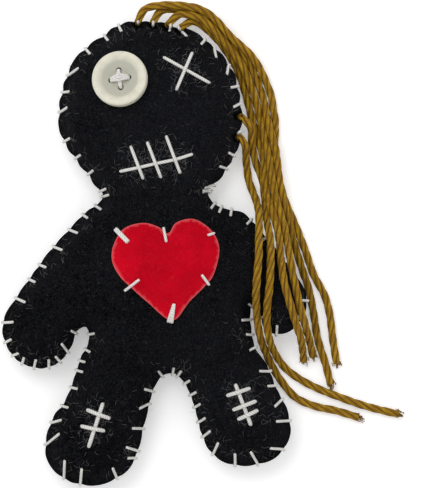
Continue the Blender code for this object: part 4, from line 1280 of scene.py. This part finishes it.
@dataclass
class WhipStitching:
    """The white thread that closes the seam, stitch by stitch, round the whole edge."""

    body: FeltBody
    thread: PliedTube = field(default_factory=lambda: PliedTube(0.00128))
    standoff: float = 0.00045
    head_pull: float = 0.0011
    limb_pull: float = 0.0005
    back_reach: float = 0.0042
    slant: float = 0.0026
    least_reach: float = 0.0022
    overhang: float = 0.0002
    seam_half: float = 0.0006
    entry_depth: float = 0.0013
    exit_depth: float = 0.0012

    def pull(self, region: Region) -> float:
        """How far a stitch draws the edge in: more round the head."""
        return self.head_pull if region is Region.HEAD else self.limb_pull

    def spots(self) -> dict[Region, list[tuple[np.ndarray, np.ndarray, np.ndarray]]]:
        """The outer end, inner end and inward direction of each stitch."""
        loop = self.body.outline
        found = {}
        for name, stitches in WHIP_STITCHES.items():
            pull = self.pull(Region(name))
            rows = []
            for numbers in stitches:
                inner = np.array(place(numbers[-2:]))
                outer = np.array(place(numbers[:2]))
                index = int(np.linalg.norm(loop - outer, axis=1).argmin())
                along = loop[(index + 2) % len(loop)] - loop[index - 2]
                inward = np.array((along[1], -along[0])) / np.linalg.norm(along)
                edge = loop[index] + inward * pull * 0.8
                if (inner - edge) @ inward < self.least_reach:
                    inner = edge + inward * self.least_reach + (inner - edge) * 0.3
                rows.append((edge, inner, inward))
            found[Region(name)] = rows
        return found

    def path(self, edge: np.ndarray, inner: np.ndarray, inward: np.ndarray) -> np.ndarray:
        """The way of one stitch: out of the front, over the edge and into the back."""
        radius = self.thread.diameter / 2
        front, back = self.body.front, self.body.back
        lead = (inner - edge) / max(np.linalg.norm(inner - edge), 1e-9)
        line = [(*(inner + lead * self.overhang), front.height(inner) - self.entry_depth)]
        line.append((*inner, front.height(inner) + radius * 0.55))
        for share in (0.72, 0.44, 0.18):
            spot = edge + (inner - edge) * share
            line.append((*spot, front.height(spot) + radius * 0.9))
        out = edge - inward * self.standoff
        near = edge - inward * self.standoff * 0.4
        line.append((*near, FRONT_EDGE + radius * 0.75))
        line.append((*(out - inward * self.overhang), SEAM_HEIGHT + self.seam_half))
        line.append((*(out - inward * self.overhang), SEAM_HEIGHT - self.seam_half))
        along = np.array((-inward[1], inward[0]))
        under = edge + inward * self.back_reach + along * self.slant
        line.append((*(near + along * 0.0003), BACK_EDGE - radius * 0.75))
        for share in (0.25, 0.6, 0.95):
            spot = edge + (under - edge) * share
            line.append((*spot, max(back.height(spot) - radius * 0.9, radius)))
        line.append((*under, back.height(under) + self.exit_depth))
        return np.array([tuple(p) for p in smooth_line(line)])

    def build(self, finishes: Finishes) -> None:
        """Sews every region's stitches as one piece of thread work."""
        for region, rows in self.spots().items():
            shapes = [self.thread.shape(self.path(*row)) for row in rows]
            name = f"whip_stitch_{region.value}"
            add_threads(name, shapes, finishes.thread, region, "whip_stitch")
            LOG.info("%s: %d stitches", name, len(shapes))


@dataclass
class Marks:
    """The straight stitches of the face, the mouth and the legs."""

    body: FeltBody
    face_thread: PliedTube = field(default_factory=lambda: PliedTube(0.00150))
    leg_thread: PliedTube = field(default_factory=lambda: PliedTube(0.00185))
    seat: float = 0.62
    step_over: float = 0.9
    crossing: float = 0.0019

    @staticmethod
    def lines() -> dict[str, tuple[np.ndarray, int]]:
        """Each stitch's line on the felt, and the layers of thread below it."""
        found = {"mouth_line": (traced(MOUTH_LINE, STITCH_STEP), 0)}
        for name, (start, end, layers) in {**FACE_STITCHES, **LEG_STITCHES}.items():
            found[name] = (evenly([place(start), place(end)], STITCH_STEP), layers)
        return found

    def path(self, line: np.ndarray, under: list[np.ndarray], thread: PliedTube) -> np.ndarray:
        """The line laid on the felt, over other threads, with its ends sunk in.

        Args:
            line: the stitch's line, seen from above.
            under: the lines of the threads that it crosses.
            thread: the thread that it is sewn with.

        Returns:
            The centreline of the thread.
        """
        radius = thread.diameter / 2
        lifted = []
        for spot in line:
            rise = self.body.front.height(spot) + radius * self.seat
            for other in under:
                gap = line_distance(spot[None, :], other)[0]
                fade = math.exp(-((gap / self.crossing) ** 2))
                rise += thread.diameter * self.step_over * fade
            lifted.append((*spot, rise))
        first, last = line[0] - line[1], line[-1] - line[-2]
        start = (*(line[0] + first * 0.2), lifted[0][2] - SINK)
        end = (*(line[-1] + last * 0.2), lifted[-1][2] - SINK)
        return np.array([start, *lifted, end])

    def build(self, finishes: Finishes) -> None:
        """Sews each stitch as its own piece."""
        lines = self.lines()
        for name, (line, layers) in lines.items():
            family = name.split("_stitch")[0].split("_bar")[0].replace("_line", "")
            under = [
                other for key, (other, level) in lines.items()
                if level < layers and key.startswith(family)
            ]
            thread = self.leg_thread if "leg" in name else self.face_thread
            shape = thread.shape(self.path(line, under, thread))
            region = region_at(to_pixel(line[len(line) // 2]))
            add_threads(f"{name}_thread", [shape], finishes.thread, region, name)
            LOG.info("%s_thread: %.1f mm long", name, 1000 * len(line) * STITCH_STEP)


@dataclass
class HeartPatch:
    """The heart of red felt on the chest, and the six stitches that hold it."""

    body: FeltBody
    step: float = 0.0012
    lift: float = 0.00015
    groove: tuple[float, float] = (0.00045, 0.0011)
    rim_drop: tuple[float, float] = (0.00035, 0.0006)
    cut_edge: float = 0.0005
    passes: dict[int, int] = field(default_factory=lambda: {1: 2, 6: 3})
    fanned: int = 6
    stitch_step: float = 0.0006
    thread: PliedTube = field(default_factory=lambda: PliedTube(0.00132))
    tree: BVHTree = None

    def build(self, finishes: Finishes) -> None:
        """Lays the heart on the chest and sews it down."""
        loop = traced(HEART_EDGE, self.step, True)
        flat, faces = flat_grid(loop, self.step, [])
        gap = line_distance(flat, loop, True)
        heights = np.array([self.body.front.height(p) for p in flat]) + self.lift + FELT
        for start, end in HEART_STITCHES:
            line = np.array([place(start), place(end)])
            near = line_distance(flat, line)
            heights -= self.groove[0] * np.exp(-((near / self.groove[1]) ** 2))
        heights -= self.rim_drop[0] * np.clip(1 - gap / self.rim_drop[1], 0, 1)
        tops = np.column_stack([flat, heights])
        normals = surface_normals(tops, faces)
        lows = tops - normals * (FELT * 0.9)
        # the heart's lighter cut edge, weaker on its top side: partly cut fibres, partly painted
        # highlight
        edge = np.clip(1 - gap / self.cut_edge, 0, 1)
        heart = add_sheet(
            "heart_felt", (tops, lows), faces, normals, (edge * 0.6, edge), finishes.red_felt
        )
        triangles = [tuple(map(int, f)) for f in faces]
        self.tree = BVHTree.FromPolygons([tuple(p) for p in tops], triangles)
        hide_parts("heart_patch")
        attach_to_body(heart, "torso")
        for number, (start, end) in enumerate(HEART_STITCHES, 1):
            self.sew(number, place(start), place(end), finishes)

    def height(self, spot: np.ndarray) -> float:
        """The height of the heart, or of the felt beside it."""
        hit = self.tree.ray_cast(Vector((spot[0], spot[1], 1.0)), Vector((0, 0, -1)))[0]
        return max(hit.z if hit else 0.0, self.body.front.height(spot))

    def sew(self, number: int, start: Vector, end: Vector, finishes: Finishes) -> None:
        """Makes one stitch over the heart's edge, of one, two or three passes."""
        passes = self.passes.get(number, 1)
        direction = (end - start).normalized()
        side = np.array((-direction.y, direction.x))
        shapes = []
        for k in range(passes):
            offset = side * (k - (passes - 1) / 2) * self.thread.diameter * 0.66
            line = evenly([start, end], self.stitch_step)
            spread = np.linspace(0.2 if number == self.fanned else 1.0, 1.0, len(line))
            line = line + offset * spread[:, None]
            radius = self.thread.diameter / 2
            raised = np.array([self.height(p) for p in line])
            raised = np.convolve(np.pad(raised, 2, mode="edge"), np.ones(5) / 5, "valid")
            path = np.column_stack([line, raised + radius * 0.75])
            first = np.array([*(line[0] - (line[1] - line[0]) * 0.3), path[0, 2] - SINK])
            last = np.array([*(line[-1] + (line[-1] - line[-2]) * 0.3), path[-1, 2] - SINK])
            shapes.append(self.thread.shape(np.vstack([first, path, last])))
        name = f"heart_stitch_{number}"
        add_threads(f"{name}_thread", shapes, finishes.thread, Region.TORSO, name)
        LOG.info("%s_thread: passes %d", name, passes)


@dataclass
class EyeButton:
    """The sewn-on button that is the doll's eye, with its thread through four holes."""

    diameter: float = 0.0250
    thickness: float = 0.0042
    rim_width: float = 0.0034
    recess: float = 0.0016
    hole: float = 0.0026
    hole_circle: float = 0.0080
    turn: float = math.radians(8)
    segments: int = 96
    slope: float = 0.0014
    foot_inset: float = 0.0022
    foot_rise: float = 0.0003
    rim_round: float = 0.0009
    hole_round: float = 0.00015
    hole_segments: int = 28
    shift: tuple[float, float, float] = (0.0006, -0.0009, 0.0001)
    seat: Matrix = None

    def find_seat(self) -> None:
        """Takes the button's place and tilt from the frame's own button."""
        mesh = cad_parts["eye_button"].data
        points = np.array([tuple(v.co) for v in mesh.vertices])
        low, high = points.min(0), points.max(0)
        middle = (low + high) / 2
        normal = np.linalg.svd(np.unique(points.round(7), axis=0) - points.mean(0))[2][2]
        normal = normal * math.copysign(1.0, normal[2])
        depth = (points - middle) @ normal
        base = middle + normal * depth.min()
        tilt = Vector((0, 0, 1)).rotation_difference(Vector(normal)).to_matrix().to_4x4()
        base = base + np.array(self.shift)
        self.seat = Matrix.Translation(Vector(base)) @ tilt @ Matrix.Rotation(self.turn, 4, "Z")

    def build(self, finishes: Finishes) -> None:
        """Turns the button, drills it and sews it on."""
        self.find_seat()
        bpy.ops.object.select_all(action="DESELECT")
        bpy.ops.mesh.primitive_cylinder_add(
            vertices=self.segments, radius=self.diameter / 2, depth=self.thickness,
            location=(0, 0, self.thickness / 2),
        )
        button = bpy.context.object
        button.name = button.data.name = "eye_button_moulding"
        bpy.ops.object.transform_apply(location=True)
        self.hollow(button)
        self.soften(button, self.rim_round, math.radians(50), 4)
        for number in range(4):
            self.drill(button, math.pi / 2 * number)
        self.soften(button, self.hole_round, math.radians(60), 1)
        self.mark_recess_shade(button)
        button.data.transform(self.seat)
        button.data.materials.clear()
        button.data.materials.append(finishes.button)
        for polygon in button.data.polygons:
            polygon.use_smooth = True
        button.data.set_sharp_from_angle(angle=math.radians(50))
        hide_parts("eye_button")
        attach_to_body(button, "head")
        LOG.info("%s: %.1f mm across", button.name, self.diameter * 1000)
        self.sew(finishes)

    def hollow(self, button: bpy.types.Object) -> None:
        """Insets the top face twice and sinks the recess, and rounds the underside in."""
        self.pick_face(button, 1)
        bpy.ops.mesh.inset(thickness=self.rim_width, depth=0.0)
        bpy.ops.mesh.inset(thickness=self.slope, depth=-self.recess)
        bpy.ops.object.mode_set(mode="OBJECT")
        self.pick_face(button, -1)
        bpy.ops.mesh.inset(thickness=self.foot_inset, depth=self.foot_rise)
        bpy.ops.object.mode_set(mode="OBJECT")

    @staticmethod
    def pick_face(button: bpy.types.Object, facing: int) -> None:
        """Selects the largest face that looks up or down, in edit mode."""
        bpy.context.view_layer.objects.active = button
        for parts in (button.data.polygons, button.data.edges, button.data.vertices):
            for part in parts:
                part.select = False
        flat = [p for p in button.data.polygons if p.normal.z * facing > 0.99]
        max(flat, key=lambda p: p.area).select = True
        bpy.ops.object.mode_set(mode="EDIT")
        bpy.ops.mesh.select_mode(type="FACE")

    @staticmethod
    def soften(button: bpy.types.Object, width: float, angle: float, segments: int) -> None:
        """Rounds the edges that are sharper than an angle."""
        bevel = button.modifiers.new("rounded_edges", "BEVEL")
        bevel.width = width
        bevel.segments = segments
        bevel.limit_method = "ANGLE"
        bevel.angle_limit = angle
        bevel.use_clamp_overlap = True
        bpy.ops.object.modifier_apply(modifier=bevel.name)

    def drill(self, button: bpy.types.Object, angle: float) -> None:
        """Cuts one of the four holes."""
        reach = self.hole_circle / 2
        bpy.ops.object.select_all(action="DESELECT")
        bpy.ops.mesh.primitive_cylinder_add(
            vertices=self.hole_segments, radius=self.hole / 2, depth=self.thickness * 3,
            location=(reach * math.cos(angle), reach * math.sin(angle), 0),
        )
        bit = bpy.context.object
        bpy.context.view_layer.objects.active = button
        cut = button.modifiers.new("hole", "BOOLEAN")
        cut.object = bit
        cut.solver = "EXACT"
        bpy.ops.object.modifier_apply(modifier=cut.name)
        bpy.data.objects.remove(bit, do_unlink=True)

    def mark_recess_shade(self, button: bpy.types.Object) -> None:
        """Notes for the finish which points lie in the recess, where it paints shade."""
        store = button.data.attributes.new("recess", "FLOAT", "POINT")
        inner = self.diameter / 2 - self.rim_width
        values = [
            1.0 if v.co.xy.length < inner and v.co.z < self.thickness - self.recess * 0.5 else 0.0
            for v in button.data.vertices
        ]
        store.data.foreach_set("value", np.array(values, np.float32))

    def sew(self, finishes: Finishes) -> None:
        """Runs the thread: two passes one way, and a thick bundle of three across them."""
        thread = PliedTube(0.0013, pitch=0.0032, step=0.0003, sides=10)
        reach = self.hole_circle / 2
        floor = self.thickness - self.recess
        radius = thread.diameter / 2
        shapes = []
        for axis, passes, level in (((0, 1), 2, 0.0), ((1, 0), 3, 1.0)):
            for k in range(passes):
                aside = (k - (passes - 1) / 2) * thread.diameter * (0.72 if passes == 3 else 0.6)
                line = []
                for along, height in (
                    (-1.0, -0.0022), (-0.98, -0.0004), (-0.80, 0.0005), (-0.45, 0.0008),
                    (0.0, 0.0009), (0.45, 0.0008), (0.80, 0.0005), (0.98, -0.0004), (1.0, -0.0022),
                ):
                    full = max(0.0, 1 - abs(along))
                    sway = aside * (0.55 + 0.75 * full)
                    x = reach * along * axis[0] + sway * axis[1]
                    y = reach * along * axis[1] + sway * axis[0]
                    rise = floor + height + radius * 0.8 + level * full * thread.diameter * 1.1
                    if passes == 3 and k == 1:
                        rise += 0.0003 * full
                    line.append(self.seat @ Vector((x, y, rise)))
                shapes.append(thread.shape(np.array([tuple(p) for p in smooth_line(line)])))
        verts, faces, values = join_shapes(shapes)
        piece = add_piece("button_thread_passes", verts, faces, finishes.thread, values=values)
        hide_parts("button_thread")
        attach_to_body(piece, "head")
        LOG.info("%s: passes %d", piece.name, len(shapes))


@dataclass
class YarnHair:
    """Six strands of mustard yarn that hang from the head beside the right arm."""

    diameter: float = 0.0036
    fuzz_count: int = 130
    fray_count: int = 36
    clearance: float = 0.0003

    @staticmethod
    def centrelines() -> list[np.ndarray]:
        """The smooth way of each strand from inside the seam, one point every half millimetre."""
        loop = traced(BODY_EDGE, 0.001, True)
        found = []
        for route in YARN_ROUTES:
            first = np.array(route[0][:2])
            edge = loop[np.linalg.norm(loop - first, axis=1).argmin()]
            inward = (edge - first) / np.linalg.norm(edge - first)
            root = [(*(edge + inward * reach), SEAM_HEIGHT) for reach in (0.0024, 0.0006)]
            found.append(evenly(smooth_line([*root, *route[1:]]), 0.0005))
        return found

    def build(self, finishes: Finishes) -> None:
        """Twists the strands and fixes them where they lie, between head and torso."""
        for number, line in enumerate(self.centrelines(), 1):
            tube = PliedTube(
                self.diameter, plies=4, pitch=0.0260, step=0.00055, sides=24, depth=0.20
            )
            shapes = [tube.shape(line, taper=0.0012, blunt=True)]
            shapes += self.frayed_end(line, number) + self.fuzz(line, number)
            verts, faces, values = join_shapes(shapes)
            strand = add_piece(f"yarn_strand_{number}", verts, faces, finishes.yarn, values=values)
            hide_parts(f"yarn_{number}")
            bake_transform(strand)

    def frayed_end(self, line: np.ndarray, seed: int) -> list:
        """A few loose fibres at a strand's cut end."""
        chance = np.random.default_rng(seed)
        ahead = line[-1] - line[-6]
        ahead = ahead / np.linalg.norm(ahead)
        thin = PliedTube(0.00034, plies=2, pitch=0.004, step=0.0008, sides=4, depth=0.0)
        made = []
        for _ in range(self.fray_count):
            start = line[-1] - ahead * 0.001 + chance.normal(0, 0.0008, 3)
            tip = start + ahead * chance.uniform(0.0012, 0.0021) + chance.normal(0, 0.0004, 3)
            start[2], tip[2] = max(start[2], self.clearance), max(tip[2], self.clearance)
            middle = (start + tip) / 2 + chance.normal(0, 0.0002, 3)
            middle[2] = max(middle[2], self.clearance)
            made.append(thin.shape(np.array([start, middle, tip])))
        return made

    def fuzz(self, line: np.ndarray, seed: int) -> list:
        """Fine fibres that stand off the strand along its length."""
        chance = np.random.default_rng(100 + seed)
        hair = single_fibre()
        made = []
        for _ in range(self.fuzz_count):
            index = int(chance.integers(12, len(line) - 8))
            ahead = line[index + 4] - line[index]
            ahead = ahead / np.linalg.norm(ahead)
            away = chance.normal(0, 1, 3)
            away = away - ahead * (away @ ahead)
            away = away / np.linalg.norm(away)
            start = line[index] + away * self.diameter * 0.40
            way = ahead * chance.uniform(-1.0, 1.0) + away * chance.uniform(0.2, 0.7)
            reach = chance.uniform(0.0008, 0.0020)
            bend = np.cross(ahead, away) * chance.uniform(-0.0004, 0.0004)
            spots = np.array([start, start + way * reach * 0.5 + bend, start + way * reach])
            spots[:, 2] = np.maximum(spots[:, 2], 0.0002)
            made.append(hair.shape(spots, taper=0.0004))
        return made


@dataclass
class Lint:
    """Pale stray fibres on the felt round the stitches."""

    body: FeltBody
    seed: int = 11
    count: int = 8
    scatter: float = 0.0024
    curl: float = 0.38
    lift: float = 0.00006
    rise: float = 0.00035

    def build(self, anchors: dict[Region, list[np.ndarray]], finishes: Finishes) -> None:
        """Scatters short curled fibres near the given places, one piece a region."""
        chance = np.random.default_rng(self.seed)
        hair = single_fibre()
        for region, places in anchors.items():
            shapes = []
            for spot in places:
                for _ in range(self.count):
                    start = spot + chance.normal(0, self.scatter, 2)
                    if region_at(to_pixel(start)) is not region:
                        continue
                    if not inside(self.body.outline, start[None, :])[0]:
                        continue
                    heading = chance.uniform(0, 2 * math.pi)
                    line = [start]
                    for _ in range(4):
                        heading += chance.normal(0, self.curl)
                        stride = chance.uniform(0.0004, 0.0010)
                        way = np.array((math.cos(heading), math.sin(heading)))
                        line.append(line[-1] + stride * way)
                    felt = self.body.front
                    lifted = [
                        (*p, felt.height(p) + self.lift + self.rise * abs(chance.normal()))
                        for p in line
                    ]
                    shapes.append(hair.shape(np.array(lifted), taper=0.0004))
            if not shapes:
                continue
            name = f"stray_fibres_{region.value}"
            add_threads(name, shapes, finishes.lint, region)
            LOG.info("%s: %d fibres", name, len(shapes))


@dataclass
class InnerFrame:
    """The ball-jointed plastic frame inside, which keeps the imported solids."""

    def dress(self, finishes: Finishes) -> None:
        """Gives each part of the frame its finish."""
        for region in Region:
            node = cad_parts[f"frame_{region.value}"]
            node.data.materials.clear()
            node.data.materials.append(finishes.plastic)
            LOG.info("%s: finished in plastic", node.name)


@dataclass
class Studio:
    """The camera, the lamps and the white floor."""

    distance: float = 3.0
    aim_height: float = 0.012
    sensor: float = 36.0
    world_level: float = 0.72
    lamp_power: float = 4.5
    lamp_size: float = 0.9
    lamp_place: tuple[float, float, float] = (-0.35, 0.55, 1.0)
    lamp_aim: tuple[float, float, float] = (0.03, 0.0, 0.0)
    floor_shade: float = 0.93
    floor_glow: float = 0.32
    floor_size: float = 3.0

    def place_camera(self) -> None:
        """Sets the camera straight above the middle of the picture."""
        data = bpy.data.cameras.new("picture_camera")
        data.sensor_width = self.sensor
        data.lens = self.sensor * self.distance / (PICTURE[1] * PIXEL)
        camera = bpy.data.objects.new("picture_camera", data)
        centre = place((PICTURE[0] / 2, PICTURE[1] / 2))
        camera.location = (centre.x, centre.y, self.distance + self.aim_height)
        bpy.context.scene.collection.objects.link(camera)
        bpy.context.scene.camera = camera

    def light(self) -> None:
        """Adds a wide soft lamp at the upper left and an even white world."""
        data = bpy.data.lights.new("soft_window", "AREA")
        data.shape = "DISK"
        data.size = self.lamp_size
        data.energy = self.lamp_power
        lamp = bpy.data.objects.new("soft_window", data)
        lamp.location = self.lamp_place
        aim = Vector(self.lamp_aim) - lamp.location
        lamp.rotation_euler = aim.to_track_quat("-Z", "Y").to_euler()
        bpy.context.scene.collection.objects.link(lamp)
        world = bpy.data.worlds.new("white_surround")
        world.use_nodes = True
        bpy.context.scene.world = world
        nodes = Nodes(world.node_tree)
        background = world.node_tree.nodes["Background"]
        background.inputs["Color"].default_value = (1, 1, 1, 1)
        seen = self.seen_directly(nodes)
        level = nodes.add("MapRange", None, Value=seen, To_Min=self.world_level, To_Max=1.0)
        world.node_tree.links.new(level.outputs[0], background.inputs["Strength"])

    @staticmethod
    def seen_directly(nodes: Nodes) -> bpy.types.NodeSocket:
        """1 for camera rays and for rays seen in gloss or through clear matter."""
        path = nodes.add("LightPath")
        glossy = nodes.math("MAXIMUM", path.outputs["Is Camera Ray"], path.outputs["Is Glossy Ray"])
        return nodes.math("MAXIMUM", glossy, path.outputs["Is Transmission Ray"])

    def lay_floor(self) -> None:
        """Lays the white floor, which keeps the doll's shadow."""
        half = self.floor_size / 2
        made = bpy.data.materials.new("white_floor")
        made.use_nodes = True
        nodes = Nodes(made.node_tree)
        shader = made.node_tree.nodes["Principled BSDF"]
        shader.inputs["Base Color"].default_value = (*[self.floor_shade] * 3, 1)
        shader.inputs["Roughness"].default_value = 1.0
        shader.inputs["Specular IOR Level"].default_value = 0.0
        shader.inputs["Emission Color"].default_value = (1, 1, 1, 1)
        glow = nodes.math("MULTIPLY", self.seen_directly(nodes), self.floor_glow)
        made.node_tree.links.new(glow, shader.inputs["Emission Strength"])
        corners = [(-half, -half, 0), (half, -half, 0), (half, half, 0), (-half, half, 0)]
        floor = add_piece("floor", np.array(corners, float), [(0, 1, 2, 3)], made)

    def build(self) -> None:
        """Sets up everything that isn't the doll."""
        self.place_camera()
        self.light()
        self.lay_floor()
        bpy.context.scene.view_settings.view_transform = "Standard"


def main() -> None:
    """Builds the studio and the doll, piece by piece."""
    logging.basicConfig(level=logging.INFO, format="%(message)s")
    Studio().build()
    finishes = Finishes().build()
    body = FeltBody(outline=traced(BODY_EDGE, EDGE_STEP, True))
    whip = WhipStitching(body)
    spots = [
        (edge, inward, whip.pull(region))
        for region, rows in whip.spots().items()
        for edge, _, inward in rows
    ]
    marks = [line for line, _ in Marks.lines().values()]
    body.shape(marks, spots, YarnHair.centrelines())
    body.dress(finishes)
    whip.build(finishes)
    Marks(body).build(finishes)
    HeartPatch(body).build(finishes)
    EyeButton().build(finishes)
    YarnHair().build(finishes)
    anchors: dict[Region, list[np.ndarray]] = {}
    for line in marks:
        for spot in line[::3]:
            anchors.setdefault(region_at(to_pixel(spot)), []).append(spot)
    for region, rows in whip.spots().items():
        anchors.setdefault(region, []).extend(inner for _, inner, _ in rows)
    Lint(body).build(anchors, finishes)
    InnerFrame().dress(finishes)


if __name__ == "__main__":
    main()
